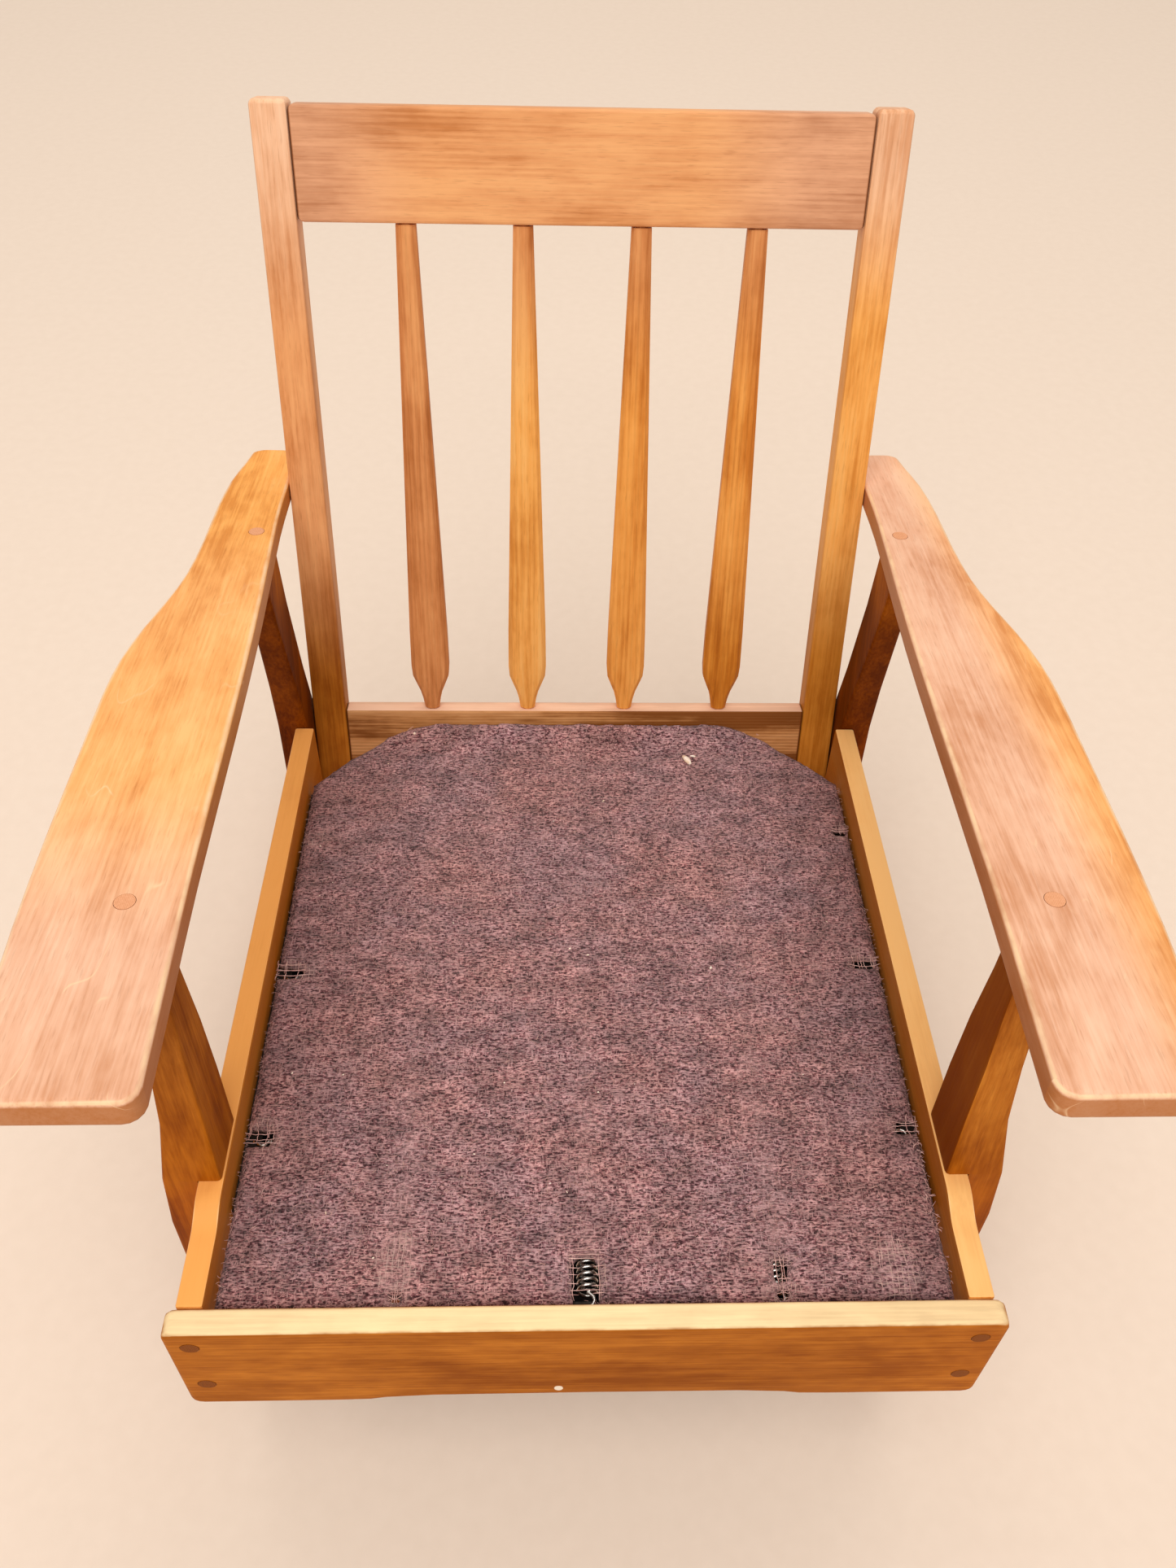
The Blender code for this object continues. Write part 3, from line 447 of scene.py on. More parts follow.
def mesh_from(bm, name, smooth=True):
    mesh = bpy.data.meshes.new(name)
    bm.to_mesh(mesh)
    bm.free()
    if smooth:
        mesh.polygons.foreach_set("use_smooth", [True] * len(mesh.polygons))
    return mesh


# ---------------------------------------------------------------- felt deck: its shape

# All in the seat frame. The felt's two faces, and its edges at the sides, the front and the rear
PAD_LOW, PAD_HIGH = -0.0317, -0.0238
PAD_EDGE, PAD_FRONT, PAD_REAR = 0.2545, 0.0240, 0.6075
# How far loose threads and frayed ends may reach past the felt before they meet the rails
THREAD_EDGE, THREAD_FRONT = 0.2552, 0.0225
FRAY_EDGE, FRAY_FRONT = 0.2560, 0.0205
# The bands under the felt: X of the long ones, Y of the cross ones
BAND_X, BAND_Y = (-0.133, 0.0, 0.133), (0.157, 0.311, 0.461)

# The slot in the front edge (X, depth and half width) and the notches in the left edge (Y and half width)
SLOT_X, SLOT_DEPTH, SLOT_HALF = -0.0015, 0.0595, 0.0090
NOTCHES = ((0.1540, 0.0075), (0.3085, 0.0062))
# Open holes, and then the places that are only worn: X, Y, and half sizes along X and Y
HOLES = [(0.2420, 0.3150, 0.0105, 0.0056), (0.2465, 0.1585, 0.0088, 0.0064),
         (0.2470, 0.4690, 0.0062, 0.0038), (0.1355, 0.0470, 0.0052, 0.0085),
         (0.1350, 0.0300, 0.0040, 0.0040), (-0.1325, 0.0305, 0.0036, 0.0036)]
SLOT_SPOT = (-0.0015, 0.0425, 0.0100, 0.0190)
NOTCH_SPOTS = [(-0.2440, 0.1540, 0.0120, 0.0080), (-0.2440, 0.3085, 0.0120, 0.0070)]
THIN_SPOTS = [(0.2150, 0.0450, 0.0120, 0.0200), (-0.1330, 0.0500, 0.0090, 0.0200),
              (-0.2450, 0.4600, 0.0060, 0.0050)]
WORN = HOLES + [SLOT_SPOT] + NOTCH_SPOTS + THIN_SPOTS


def ease(t):
    t = max(0.0, min(1.0, t))
    return t * t * (3 - 2 * t)


def rear_rise(x, y):
    """The felt curls up against the lower back rail, less towards its cut corners."""
    return 0.0135 * ease((y - 0.572) / 0.036) * ease((0.225 - abs(x)) / 0.07)


def pad_height(x, y):
    """The felt's upper face: soft swells, and low ridges where it lies over the bands and springs."""
    p = Vector((x, y, 0))
    z = PAD_HIGH + rear_rise(x, y)
    z += 0.0011 * noise.noise(p * 11) + 0.0006 * noise.noise(p * 34 + Vector((3, 7, 1)))
    ridge = 0.0085
    for band in BAND_X:
        z += 0.0005 * math.exp(-((x - band) / ridge) ** 2) * ease((y - 0.01) / 0.05)
    for band in BAND_Y:
        z += 0.0004 * math.exp(-((y - band) / ridge) ** 2)
    return z


def on_felt(x, y, margin=0.006):
    """Whether a point lies on whole felt: inside the edges and the cut corners, and off the worn spots."""
    if abs(x) > PAD_EDGE - margin or not PAD_FRONT + margin < y < PAD_REAR - 0.004:
        return False
    if abs(x) + max(0.0, y - 0.53) * 0.85 > 0.249 - margin:
        return False
    return all(abs(x - hx) > a or abs(y - hy) > b for hx, hy, a, b in WORN)


def pad_outline(rng):
    """The felt's ragged cut edge: slanted rear corners, the slot in front and the notches on the left."""
    x, depth, half = SLOT_X, SLOT_DEPTH, SLOT_HALF
    corners = [(-PAD_EDGE, PAD_FRONT), (x - half, PAD_FRONT), (x - half * 1.05, depth - 0.006),
               (x - half * 0.5, depth), (x + half * 0.6, depth - 0.001), (x + half, depth - 0.008),
               (x + half * 0.95, PAD_FRONT), (PAD_EDGE, PAD_FRONT), (PAD_EDGE, 0.534), (0.2240, 0.5660),
               (0.1910, 0.5930), (0.1430, PAD_REAR), (-0.1400, PAD_REAR), (-0.1880, 0.5960),
               (-0.2240, 0.5690), (-PAD_EDGE, 0.533)]
    for y, reach in reversed(NOTCHES):
        corners += [(-PAD_EDGE, y + reach), (-0.2360, y + reach * 0.8), (-0.2330, y),
                    (-0.2370, y - reach * 0.8), (-PAD_EDGE, y - reach)]
    spacing = 0.0028
    points = []
    for start, end in zip(corners, corners[1:] + corners[:1]):
        a, b = Vector(start), Vector(end)
        steps = max(1, round((b - a).length / spacing))
        inward = Vector((a.y - b.y, b.x - a.x)).normalized()
        for k in range(steps):
            p = a.lerp(b, k / steps)
            fray = 0.0011 * abs(noise.noise(Vector((p.x, p.y, 0)) * 90)) + 0.0005 * rng.random()
            points.append(p + inward * fray)
    return points


def hole_outline(hole, rng, count=16):
    """A ragged ring, half way between an ellipse and a rectangle."""
    x, y, a, b = hole
    ring = []
    for k in range(count):
        t = 2 * math.pi * k / count
        r = 0.80 + 0.28 * rng.random()
        c, s = math.cos(t), math.sin(t)
        square = (abs(c) ** 4 + abs(s) ** 4) ** -0.25
        ring.append(Vector((x + a * r * c * square, y + b * r * s * square)))
    return ring


def inside(p, ring):
    hit = False
    for a, b in zip(ring, ring[1:] + ring[:1]):
        if (a.y > p.y) != (b.y > p.y) and p.x < (b.x - a.x) * (p.y - a.y) / (b.y - a.y) + a.x:
            hit = not hit
    return hit


def felt_net(rng):
    """A flat net of triangles over the felt, open at the holes, and a search tree of its edge points."""
    outline = pad_outline(rng)
    rings = [outline] + [hole_outline(hole, rng) for hole in HOLES]
    points, edges = [], []
    for ring in rings:
        first = len(points)
        points += ring
        edges += [(first + k, first + (k + 1) % len(ring)) for k in range(len(ring))]
    rims = kdtree.KDTree(len(points))
    for k, p in enumerate(points):
        rims.insert((p.x, p.y, 0), k)
    rims.balance()
    step = 0.0050
    row_step = step * 0.866
    for row in range(int(0.6 / row_step)):
        for column in range(int(0.53 / step)):
            p = Vector((-0.265 + step * (column + 0.5 * (row % 2)), 0.016 + row_step * row))
            p += Vector((rng.uniform(-1, 1), rng.uniform(-1, 1))) * step * 0.18
            if rims.find((p.x, p.y, 0))[2] > step * 0.5 and inside(p, outline):
                points.append(p)
    flat, _, faces = geometry.delaunay_2d_cdt(points, edges, [], 1, 1e-6)[:3]
    kept = []
    for face in faces:
        centre = sum((flat[i] for i in face), Vector((0, 0))) / len(face)
        if inside(centre, outline) and not any(inside(centre, ring) for ring in rings[1:]):
            kept.append(face)
    return flat, kept, rims


def felt_mesh(rng):
    """A felt sheet about 8 mm thick with rounded, ragged edges: a net on top, one below, and a wall."""
    flat, kept, rims = felt_net(rng)
    round_width, round_depth = 0.0042, 0.0036
    verts = []
    for p in flat:
        d = min(1.0, rims.find((p.x, p.y, 0))[2] / round_width)
        verts.append((p.x, p.y, pad_height(p.x, p.y) - round_depth * (1 - math.sqrt(1 - (1 - d) ** 2))))
    count = len(verts)
    verts += [(p.x, p.y, PAD_LOW + rear_rise(p.x, p.y)) for p in flat]
    sides = [side for face in kept for side in zip(face, face[1:] + face[:1])]
    shared = set(sides)
    walls = [(a, a + count, b + count, b) for a, b in sides if (b, a) not in shared]
    tops = [tuple(face) for face in kept]
    undersides = [tuple(i + count for i in reversed(face)) for face in kept]
    sheet = bpy.data.meshes.new("felt_sheet")
    sheet.from_pydata([SEAT @ Vector(v) for v in verts], [], tops + undersides + walls)
    bm = bmesh.new()
    bm.from_mesh(sheet)
    bpy.data.meshes.remove(sheet)
    bmesh.ops.delete(bm, geom=[v for v in bm.verts if not v.link_faces], context="VERTS")
    bmesh.ops.recalc_face_normals(bm, faces=bm.faces)
    return mesh_from(bm, "felt_pad_cloth")


# ---------------------------------------------------------------- felt deck: fibres, threads and scraps

def strand(bm, points, radius, flat=False):
    """A thin fibre along seat-frame points: a three-sided tube, or a flat ribbon."""
    rings = []
    path = [SEAT @ Vector(p) for p in points]
    for k, p in enumerate(path):
        ahead = (path[min(k + 1, len(path) - 1)] - path[max(k - 1, 0)]).normalized()
        side = ahead.cross(Vector((0.0, SEAT[1][2], SEAT[2][2])))
        side = side.normalized() if side.length > 1e-6 else Vector((1, 0, 0))
        up = side.cross(ahead)
        r = radius * (0.45 if k in (0, len(path) - 1) else 1.0)
        turns = ((1.0, 0.0), (-1.0, 0.0)) if flat else ((0.87, -0.5), (-0.87, -0.5), (0.0, 1.0))
        rings.append([bm.verts.new(p + side * r * a + up * r * b) for a, b in turns])
    for low, high in zip(rings, rings[1:]):
        for k in range(1 if flat else 3):
            n = (k + 1) % len(low)
            bm.faces.new((low[k], low[n], high[n], high[k]))


def wandering(rng, start, heading, length, curl, lift, steps):
    """Points of a curved fibre that lies on the felt."""
    x, y = start
    points = []
    for k in range(steps + 1):
        z = pad_height(x, y) + lift * math.sin(math.pi * (k / steps)) + 0.0002
        points.append((x, y, z))
        heading += curl * rng.uniform(0.4, 1.0) / steps
        x += math.cos(heading) * length / steps
        y += math.sin(heading) * length / steps
    return points


def fibres_mesh(rng):
    """Loose fibres lying on the felt, mostly along its two weave directions."""
    bm = bmesh.new()
    made = 0
    while made < 5200:
        x, y = rng.uniform(-0.25, 0.25), rng.uniform(0.03, 0.60)
        if not on_felt(x, y):
            continue
        heading = rng.gauss(0.0, 0.45) if rng.random() < 0.62 else rng.gauss(math.pi / 2, 0.5)
        length = rng.uniform(0.0018, 0.0055) if rng.random() < 0.93 else rng.uniform(0.006, 0.016)
        path = wandering(rng, (x, y), heading, length, rng.gauss(0, 1.3), rng.uniform(0.0001, 0.0008), 4)
        if on_felt(path[-1][0], path[-1][1]):
            strand(bm, path, rng.uniform(0.00010, 0.00017), flat=True)
            made += 1
    return mesh_from(bm, "felt_fibres", smooth=False)


def spot_thread(rng, spot, offset, along_x, low, start, end):
    """Points of one thread across a worn spot, down at the height low in the middle and up at its ends."""
    x, y, a, b = spot
    sway = rng.uniform(-0.0016, 0.0016)
    path = []
    for step in range(9):
        t = start + (end - start) * step / 8
        bow = sway * math.cos(t * 1.3) + 0.0003 * math.sin(9 * t + 5 * offset)
        px = x + (a * t if along_x else a * offset + bow)
        py = y + (b * offset + bow if along_x else b * t)
        over = pad_height(px, py) + 0.0001
        px, py = max(-THREAD_EDGE, min(THREAD_EDGE, px)), max(THREAD_FRONT, py)
        path.append((px, py, min(over, low + 0.0016 * abs(t) ** 3 + (0.0003 if along_x else 0.0))))
    return path


def spot_threads(bm, rng):
    """The backing's threads left across the worn spots, clear of the coil in the slot."""
    spacing = 0.0019
    for spot in WORN:
        x, y, a, b = spot
        is_open = spot not in THIN_SPOTS
        low = PAD_HIGH + (-0.0016 if is_open else 0.0002)
        thin, thick = (0.00030, 0.00042) if is_open else (0.00016, 0.00026)
        counts = (max(3, round(b / spacing)), max(3, round(a / spacing)))
        for count, along_x in zip(counts, (True, False)):
            for k in range(count):
                offset = (2 * (k + 0.5) / count - 1) + rng.uniform(-0.16, 0.16)
                over_coil = spot == SLOT_SPOT and (offset < 0.75 if along_x else abs(offset) < 0.7)
                if over_coil or rng.random() < (0.15 if is_open else 0.55):
                    continue
                reach = rng.uniform(1.15, 1.6)
                torn = rng.random() < (0.25 if is_open else 0.6)
                start = rng.uniform(-0.6, 0.5) if torn else -reach
                path = spot_thread(rng, spot, offset, along_x, low, start, reach)
                strand(bm, path, rng.uniform(thin, thick))


def slot_threads(bm, rng):
    """Threads that frame the slot over the middle front spring, and a few that cross it."""
    x, half = SLOT_X, SLOT_HALF
    paths = []
    for side in (-1, 1):
        paths.append([(x + side * half * rng.uniform(0.92, 1.08), 0.0260 + 0.0036 * k) for k in range(10)])
        for y in (0.030, 0.0365, 0.043, 0.049, 0.055):
            y += rng.uniform(-0.0015, 0.0015)
            reach = rng.uniform(0.40, 0.75)
            paths.append([(x + side * half * share, y + 0.0006 * share) for share in (1.5, 1.2, 0.95, reach)])
    for y in (0.0335, 0.0560, 0.0590, 0.0620):
        paths.append([(x + half * share, y + rng.uniform(-0.0004, 0.0004))
                      for share in (-1.3, -0.6, 0.0, 0.6, 1.3)])
    for path in paths:
        points = [(px, py, pad_height(px, py) + 0.0003) for px, py in path]
        strand(bm, points, rng.uniform(0.00028, 0.00040))


def pale_fibres(bm, rng):
    """Thicker pale fibres scattered over the felt."""
    made = 0
    while made < 420:
        x, y = rng.uniform(-0.245, 0.245), rng.uniform(0.03, 0.60)
        if on_felt(x, y):
            path = wandering(rng, (x, y), rng.gauss(0.0, 1.0), rng.uniform(0.0025, 0.0075),
                             rng.gauss(0, 1.6), rng.uniform(0.0002, 0.0012), 5)
            if on_felt(path[-1][0], path[-1][1]):
                strand(bm, path, rng.uniform(0.00014, 0.00026))
                made += 1


def frayed_edges(bm, rng):
    """Fine frayed ends along the sides and the front, and coarser ones on the right near the front."""
    for side in (-1, 1):
        for _ in range(190):
            y = rng.uniform(0.03, 0.53)
            x = side * (PAD_EDGE - rng.uniform(0.0005, 0.004))
            heading = (0 if side > 0 else math.pi) + rng.gauss(0, 0.9)
            path = wandering(rng, (x, y), heading, rng.uniform(0.0015, 0.0042), rng.gauss(0, 1.0), 0.0004, 4)
            path = [(max(-FRAY_EDGE, min(FRAY_EDGE, px)), py, pz - 0.0012) for px, py, pz in path]
            strand(bm, path, rng.uniform(0.00012, 0.00020))
    for _ in range(55):
        start = (PAD_EDGE - rng.uniform(0.002, 0.009), rng.uniform(0.075, 0.150))
        heading = rng.choice((0.0, 1.4, -1.4)) + rng.gauss(0, 0.4)
        path = wandering(rng, start, heading, rng.uniform(0.003, 0.007), rng.gauss(0, 1.5), 0.0008, 5)
        path = [(min(FRAY_EDGE, px), py, pz) for px, py, pz in path]
        strand(bm, path, rng.uniform(0.00020, 0.00032))
    for _ in range(170):
        x = rng.uniform(-0.25, 0.25)
        start = (x, PAD_FRONT + rng.uniform(0, 0.003))
        heading = -math.pi / 2 + rng.gauss(0, 0.9)
        path = wandering(rng, start, heading, rng.uniform(0.0012, 0.0032), rng.gauss(0, 1.0), 0.0004, 4)
        path = [(px, max(FRAY_FRONT, py), pz - 0.0014) for px, py, pz in path]
        strand(bm, path, rng.uniform(0.00012, 0.00020))


def threads_mesh(rng):
    """Threads across the worn spots and around the slot, pale fibres, and frayed ends at the edges."""
    bm = bmesh.new()
    spot_threads(bm, rng)
    slot_threads(bm, rng)
    pale_fibres(bm, rng)
    frayed_edges(bm, rng)
    return mesh_from(bm, "felt_threads")


def crumbs_mesh(rng):
    """Pale lint and a dry chip or two lying on the felt."""
    bm = bmesh.new()
    places = [(0.110, 0.565, 0.0070), (0.1165, 0.5715, 0.0030), (-0.009, 0.330, 0.0013),
              (0.006, 0.323, 0.0014), (-0.187, 0.092, 0.0014), (-0.161, 0.594, 0.0020),
              (0.110, 0.309, 0.0015), (0.025, 0.508, 0.0014)]
    while len(places) < 46:
        x, y = rng.uniform(-0.24, 0.24), rng.uniform(0.04, 0.59)
        if on_felt(x, y):
            places.append((x, y, rng.uniform(0.0004, 0.0010)))
    for x, y, size in places:
        chip = bmesh.ops.create_icosphere(bm, subdivisions=2, radius=size)["verts"]
        turn = Matrix.Rotation(rng.uniform(0, 6.3), 4, "Z")
        squeeze = Matrix.Diagonal((1.0, rng.uniform(0.35, 0.7), 0.30, 1.0))
        seed = Vector((x, y, 0)) * 40
        for vertex in chip:
            vertex.co *= 1.0 + 0.45 * noise.noise(vertex.co / size * 1.3 + seed)
            vertex.co = turn @ squeeze @ vertex.co
            vertex.co = SEAT @ (vertex.co + Vector((x, y, pad_height(x, y) + size * 0.2)))
    return mesh_from(bm, "felt_crumbs")


def hole_shade_mesh():
    """Near-black scraps that hang under the open holes and close them off: painted shade that keeps the holes
    dark.
    """
    scraps = [(SLOT_X, 0.0480, 0.0150, 0.0240)]
    scraps += [(-0.2420, y + 0.006, 0.0125, reach + 0.012) for y, reach in NOTCHES]
    scraps += [(x, y + 0.008, a + 0.006, b + 0.012) for x, y, a, b in HOLES if y > 0.04]
    height, thickness, limit = -0.0530, 0.0010, 0.2550
    bm = bmesh.new()
    for x, y, a, b in scraps:
        low_x, high_x = max(x - a, -limit), min(x + a, limit)
        centre = Vector(((low_x + high_x) / 2, y, height))
        size = Matrix.Diagonal((high_x - low_x, 2 * b, thickness, 1.0))
        bmesh.ops.create_cube(bm, size=1.0, matrix=SEAT @ Matrix.Translation(centre) @ size)
    return mesh_from(bm, "felt_hole_shade", smooth=False)


# ---------------------------------------------------------------- felt deck: its colours

PIT_TINT = (0.034, 0.009, 0.012)
STRAND_TINT = (0.68, 0.41, 0.39)
RUBBED_TINT = (0.47, 0.28, 0.27)
THIN_TINT = (0.56, 0.34, 0.32)
NET_TINT = (0.74, 0.48, 0.43)


def worn_share(s, seat, across):
    """Where the pile is worn thin: ragged patches around the worn spots."""
    margin = 0.010
    near = None
    for x, y, a, b in WORN:
        far = s.distance(seat, (x, y, -0.024), (a + margin, b + margin, math.inf))
        near = far if near is None else s.math("MINIMUM", near, far)
    ragged = s.times(s.minus(s.noise(across((70, 45, 60)), 1.0, 3.0), 0.5), 1.6)
    return s.ramp(s.plus(near, ragged), (0.45, 1.0), (1.15, 0.0), smooth=True)


def thread_net(s, seat, across):
    """A broken, slightly bent net of thin lines 4 mm apart."""
    wobble = s.add("ShaderNodeTexNoise", Vector=across((60, 60, 60)), Scale=1.0).outputs["Color"]
    shift = s.add("ShaderNodeVectorMath", {"operation": "SCALE"}, Vector=wobble, Scale=0.004).outputs[0]
    bent = s.vector("ADD", seat, shift)
    waves = [s.add("ShaderNodeTexWave", {"bands_direction": direction}, Vector=bent,
                   Scale=WAVE_PERIOD / 0.0040, Distortion=0.0).outputs["Fac"] for direction in ("X", "Y")]
    net = s.most([s.ramp(wave, (0.90, 0.0), (0.97, 1.0)) for wave in waves])
    return s.times(net, s.ramp(s.noise(across((110, 110, 100)), 1.0, 2.0), (0.42, 0.0), (0.54, 1.0)))


def rubbed_share(s, x, y, patches):
    """Where the felt is rubbed paler: patches over the bands, most of all towards the front."""
    lines = []
    for axis, places, weight in ((x, BAND_X, 0.55), (y, BAND_Y, 0.25)):
        for place in places:
            gap = s.math("ABSOLUTE", s.minus(axis, place))
            line = s.math("SUBTRACT", 1.0, s.math("DIVIDE", gap, 0.013), clamp=True)
            lines.append(s.times(line, weight))
    rubbed = s.times(s.most(lines), s.ramp(patches, (0.42, 0.0), (0.66, 1.0)))
    return s.times(rubbed, s.span(y, 0.30, 0.06, 0.35, 1.0))


def matted_wool(s, across):
    """Dark gaps, a red-brown body, and pale fibres mostly from side to side. Gives the relief too."""
    grain = s.noise(across((290, 600, 500)), 1.0, 2.0, 0.6)
    fine = s.noise(across((520, 820, 700)), 1.0, 1.0)
    tone = s.plus(s.times(grain, 0.72), s.times(fine, 0.28))
    colour = s.ramp(tone, (0.41, (0.040, 0.010, 0.013)), (0.475, (0.152, 0.057, 0.063)),
                    (0.535, (0.285, 0.124, 0.130)), (0.60, (0.60, 0.34, 0.33)))
    runs = (((130, 780, 600), 0.0), ((780, 190, 600), 0.0), ((150, 800, 600), 0.5), ((150, 800, 600), -0.6))
    strands = s.most([s.ramp(s.noise(across(scale, turn), 1.0, 1.0), (0.585, 0.0), (0.655, 1.0))
                      for scale, turn in runs])
    colour = s.mix(s.times(strands, 0.62), colour, STRAND_TINT)
    pits = s.ramp(s.noise(across((300, 360, 330)), 1.0, 1.0), (0.30, 1.0), (0.38, 0.0))
    colour = s.mix(s.times(pits, 0.75), colour, PIT_TINT)
    relief = s.plus(s.plus(s.times(grain, 0.9), s.times(fine, 0.3)), s.times(strands, 0.25))
    return colour, relief


def felt_material():
    s = Shader("felt_cloth", 0.97, Sheen_Weight=0.15, Sheen_Roughness=0.6, Specular_IOR_Level=0.10)
    seat = s.add("ShaderNodeVectorRotate", {"rotation_type": "X_AXIS"}, Vector=s.place, Angle=SEAT_SLOPE,
                 Center=tuple(SEAT.translation)).outputs[0]
    seat = s.add("ShaderNodeMapping", Vector=seat, Location=tuple(-SEAT.translation)).outputs[0]
    split = s.add("ShaderNodeSeparateXYZ", Vector=seat)
    x, y = split.outputs["X"], split.outputs["Y"]

    def across(scale, turn=0.0):
        return s.add("ShaderNodeMapping", Vector=seat, Rotation=(0, 0, turn), Scale=scale).outputs[0]

    colour, relief = matted_wool(s, across)

    # Broad warm and grey patches, smaller darker ones, and a darker strip along each side that is painted
    # shade from the side rails
    clouds = s.noise(across((10, 13, 9)), 1.0, 4.0, 0.65)
    patches = s.noise(across((36, 60, 40)), 1.0, 3.0, 0.6)
    for shade in (s.ramp(clouds, (0.38, (0.85, 0.865, 0.95)), (0.62, (0.98, 0.89, 0.88))),
                  s.ramp(patches, (0.32, 0.67), (0.68, 1.32)),
                  s.ramp(s.math("ABSOLUTE", x), (0.15, 1.0), (0.25, 0.84))):
        colour = s.mix(1.0, colour, shade, "MULTIPLY")
    colour = s.mix(rubbed_share(s, x, y, patches), colour, RUBBED_TINT)

    # The backing's threads show through as a net around the worn spots
    worn = worn_share(s, seat, across)
    showing = s.times(thread_net(s, seat, across), s.plus(s.times(worn, 0.9), 0.06))
    thinned = s.ramp(s.noise(across((160, 240, 200)), 1.0, 3.0), (0.48, 0.0), (0.64, 0.30))
    colour = s.mix(s.times(worn, thinned), colour, THIN_TINT)
    colour = s.mix(s.times(showing, 0.7), colour, NET_TINT)

    s.bump(s.plus(relief, s.times(showing, 0.3)), 0.0018, 0.9)
    return s.finish(colour)


def fibre_material(name, pale, deep):
    s = Shader(name, 0.9, Specular_IOR_Level=0.2)
    spread = s.noise(s.place, 260.0, 1.0)
    return s.finish(s.ramp(spread, (0.35, deep), (0.65, pale)))


# ---------------------------------------------------------------- felt deck: the pieces

def follow_deck(obj):
    """Bakes the piece's place in the world into its mesh. The felt is held on all four sides."""
    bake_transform(obj)


def felt_piece(name, mesh, material):
    obj = link(name, mesh)
    obj.data.materials.append(material)
    follow_deck(obj)
    return obj


def dress_felt():
    rng = random.Random(7)
    felt = felt_piece("felt_cloth", felt_mesh(rng), felt_material())
    fibres = felt_piece("felt_fibres", fibres_mesh(rng),
                        fibre_material("fibres", (0.62, 0.38, 0.33), (0.30, 0.13, 0.125)))
    threads = felt_piece("felt_threads", threads_mesh(rng),
                         fibre_material("threads", (0.88, 0.59, 0.54), (0.58, 0.32, 0.30)))
    crumbs = felt_piece("felt_crumbs", crumbs_mesh(rng),
                        fibre_material("crumbs", (0.95, 0.86, 0.76), (0.80, 0.58, 0.42)))
    # Near-black sheets under the open holes, painted shade
    backing = felt_piece("felt_hole_shade", hole_shade_mesh(),
                         fibre_material("backing", (0.014, 0.011, 0.011), (0.006, 0.005, 0.005)))
    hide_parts("felt_pad")


# ---------------------------------------------------------------- springs

# The coils' height in the seat frame, the coil's and the wire's radius, and the length from hook to hook
SPRING_Z, COIL_RADIUS, WIRE_RADIUS, SPRING_SPAN = -0.0405, 0.0068, 0.001035, 0.0545


def spring_path(turns=7, per_turn=24, lead=0.012):
    """A close coil with a hook down through a plate at each end, along +Y from the rail's hook."""
    top = COIL_RADIUS
    hook = [(0, 0, top - 0.0065), (0, 0, top - 0.0040), (0.0003, 0.0005, top - 0.0014),
            (0.0017, 0.0012, top - 0.0003), (0.0036, 0.0026, top), (0.0047, 0.0050, top),
            (0.0040, 0.0075, top), (0.0020, 0.0096, top), (0, lead - 0.001, top)]
    coil = []
    for k in range(turns * per_turn + 1):
        angle = 2 * math.pi * k / per_turn
        coil.append((top * math.sin(angle), lead + (SPRING_SPAN - 2 * lead) * k / (turns * per_turn),
                     top * math.cos(angle)))
    tail = [(-x, SPRING_SPAN - y, z) for x, y, z in reversed(hook)]
    return [Vector(p) for p in hook + coil + tail]


def wire_mesh(name, path, radius, sides=8):
    """A round wire along a path, closed at both ends."""
    bm = bmesh.new()
    normal, rings = Vector((1, 0, 0)), []
    for k, p in enumerate(path):
        ahead = (path[min(k + 1, len(path) - 1)] - path[max(k - 1, 0)]).normalized()
        normal = (normal - ahead * normal.dot(ahead)).normalized()
        second = ahead.cross(normal)
        turns = [2 * math.pi * n / sides for n in range(sides)]
        rings.append([bm.verts.new(p + (normal * math.cos(t) + second * math.sin(t)) * radius)
                      for t in turns])
    for low, high in zip(rings, rings[1:]):
        for n in range(sides):
            bm.faces.new((low[n], low[(n + 1) % sides], high[(n + 1) % sides], high[n]))
    bm.faces.new(list(reversed(rings[0])))
    bm.faces.new(rings[-1])
    return mesh_from(bm, name)


def dress_springs():
    finish = steel("spring_finish", (0.86, 0.86, 0.84), 0.20, (0.42, 0.40, 0.37))
    path = spring_path()
    places = []
    for number, x in enumerate(BAND_X, 1):
        places.append(("front_%d" % number, (x, 0.0255, SPRING_Z), 0.0))
        places.append(("rear_%d" % number, (x, 0.5985, SPRING_Z), math.pi))
    for number, y in enumerate(BAND_Y, 1):
        places.append(("left_%d" % number, (-0.2495, y, SPRING_Z - 0.0015), -math.pi / 2))
        places.append(("right_%d" % number, (0.2495, y, SPRING_Z - 0.0015), math.pi / 2))
    for name, location, turn in places:
        place = SEAT @ Matrix.Translation(location) @ Matrix.Rotation(turn, 4, "Z")
        coil = link("coil_" + name, wire_mesh("coil_" + name, [place @ p for p in path], WIRE_RADIUS))
        coil.data.materials.append(finish)
        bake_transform(coil)
        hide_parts("spring_" + name)


# ---------------------------------------------------------------- stage

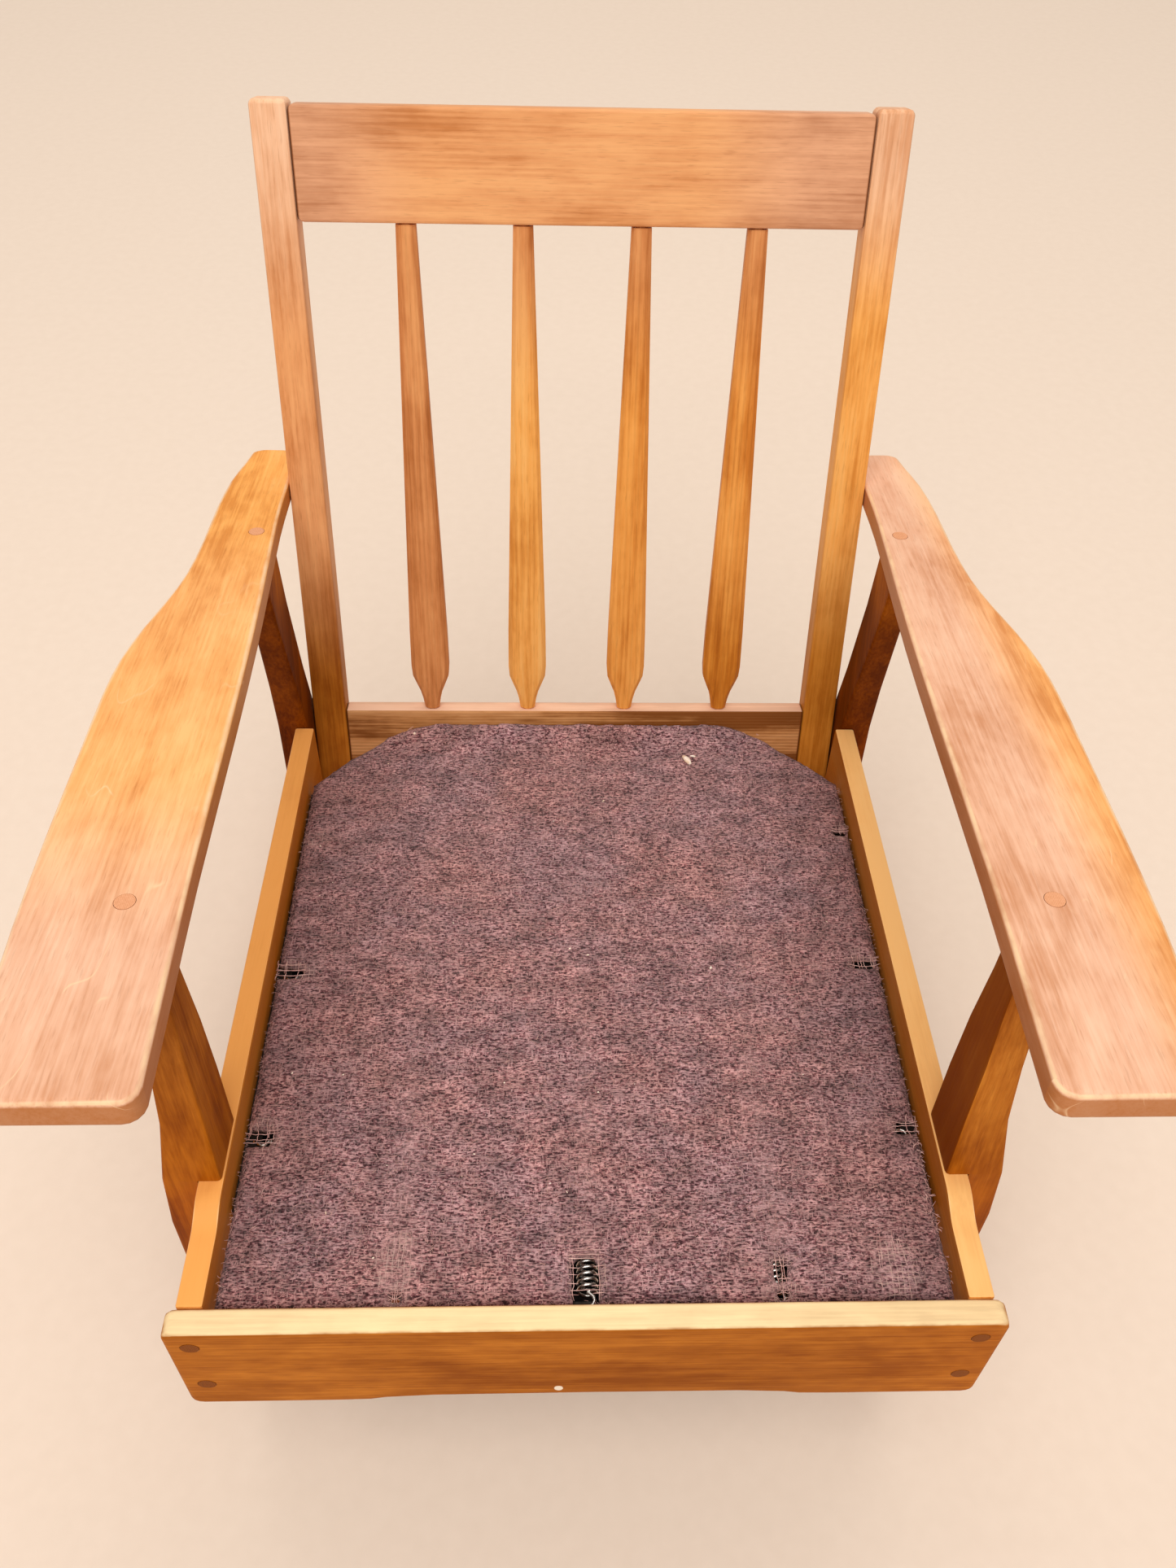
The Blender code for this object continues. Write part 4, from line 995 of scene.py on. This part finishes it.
def camera():
    """The photograph's camera, solved in the seat frame from the chair's own edges."""
    yaw, pitch, roll = (math.radians(a) for a in (2.5301, 44.3654, -1.8064))
    ahead = Vector((math.sin(yaw) * math.cos(pitch), math.cos(yaw) * math.cos(pitch), -math.sin(pitch)))
    level = Vector((math.cos(yaw), -math.sin(yaw), 0.0))
    down = ahead.cross(level)
    right = level * math.cos(roll) + down * math.sin(roll)
    up = level * math.sin(roll) - down * math.cos(roll)
    turn = Matrix((right, up, -ahead)).transposed().to_4x4()
    data = bpy.data.cameras.new("camera")
    data.sensor_fit = "AUTO"
    data.sensor_width = 36.0
    data.lens = 28.957
    data.clip_start, data.clip_end = 0.05, 50.0
    eye = link("camera", data)
    eye.matrix_world = SEAT @ Matrix.Translation((-0.0278, -0.3431, 0.8329)) @ turn
    bpy.context.scene.camera = eye


def lamp(name, place, target, size, power):
    """A soft, slightly warm rectangular light that looks from its place to the target."""
    data = bpy.data.lights.new(name, "AREA")
    data.shape = "RECTANGLE"
    data.size, data.size_y = size
    data.energy, data.color = power, (1.0, 0.96, 0.91)
    obj = link(name, data)
    obj.location = place
    obj.rotation_euler = (Vector(target) - Vector(place)).to_track_quat("-Z", "Y").to_euler()


def studio():
    """A plain pale floor under two large lights and an even sky."""
    mesh = bpy.data.meshes.new("floor")
    mesh.from_pydata([(-6, -6, 0), (6, -6, 0), (6, 6, 0), (-6, 6, 0)], [], [(0, 1, 2, 3)])
    floor = link("floor", mesh)
    s = Shader("floor_paper", 0.9)
    grain = s.noise(s.place, 60.0, 3.0)
    mesh.materials.append(s.finish(s.ramp(grain, (0.3, (0.83, 0.69, 0.575)), (0.7, (0.85, 0.71, 0.595)))))
    world = bpy.data.worlds.new("studio")
    bpy.context.scene.world = world
    world.use_nodes = True
    sky = world.node_tree.nodes["Background"]
    sky.inputs["Color"].default_value = (0.95, 0.89, 0.82, 1)
    sky.inputs["Strength"].default_value = 0.50
    lamp("key", (-0.5, -3.2, 6.4), (0.0, -0.2, 0.3), (5.0, 5.0), 345)
    lamp("back", (0.4, 4.6, 6.5), (0.0, 1.0, 0.0), (7.0, 4.0), 150)
    bpy.context.scene.view_settings.view_transform = "Standard"


dress_back()
dress_seat()
dress_arms()
dress_base()
dress_steel()
soften_kept_nodes()
dress_felt()
dress_springs()
camera()
studio()
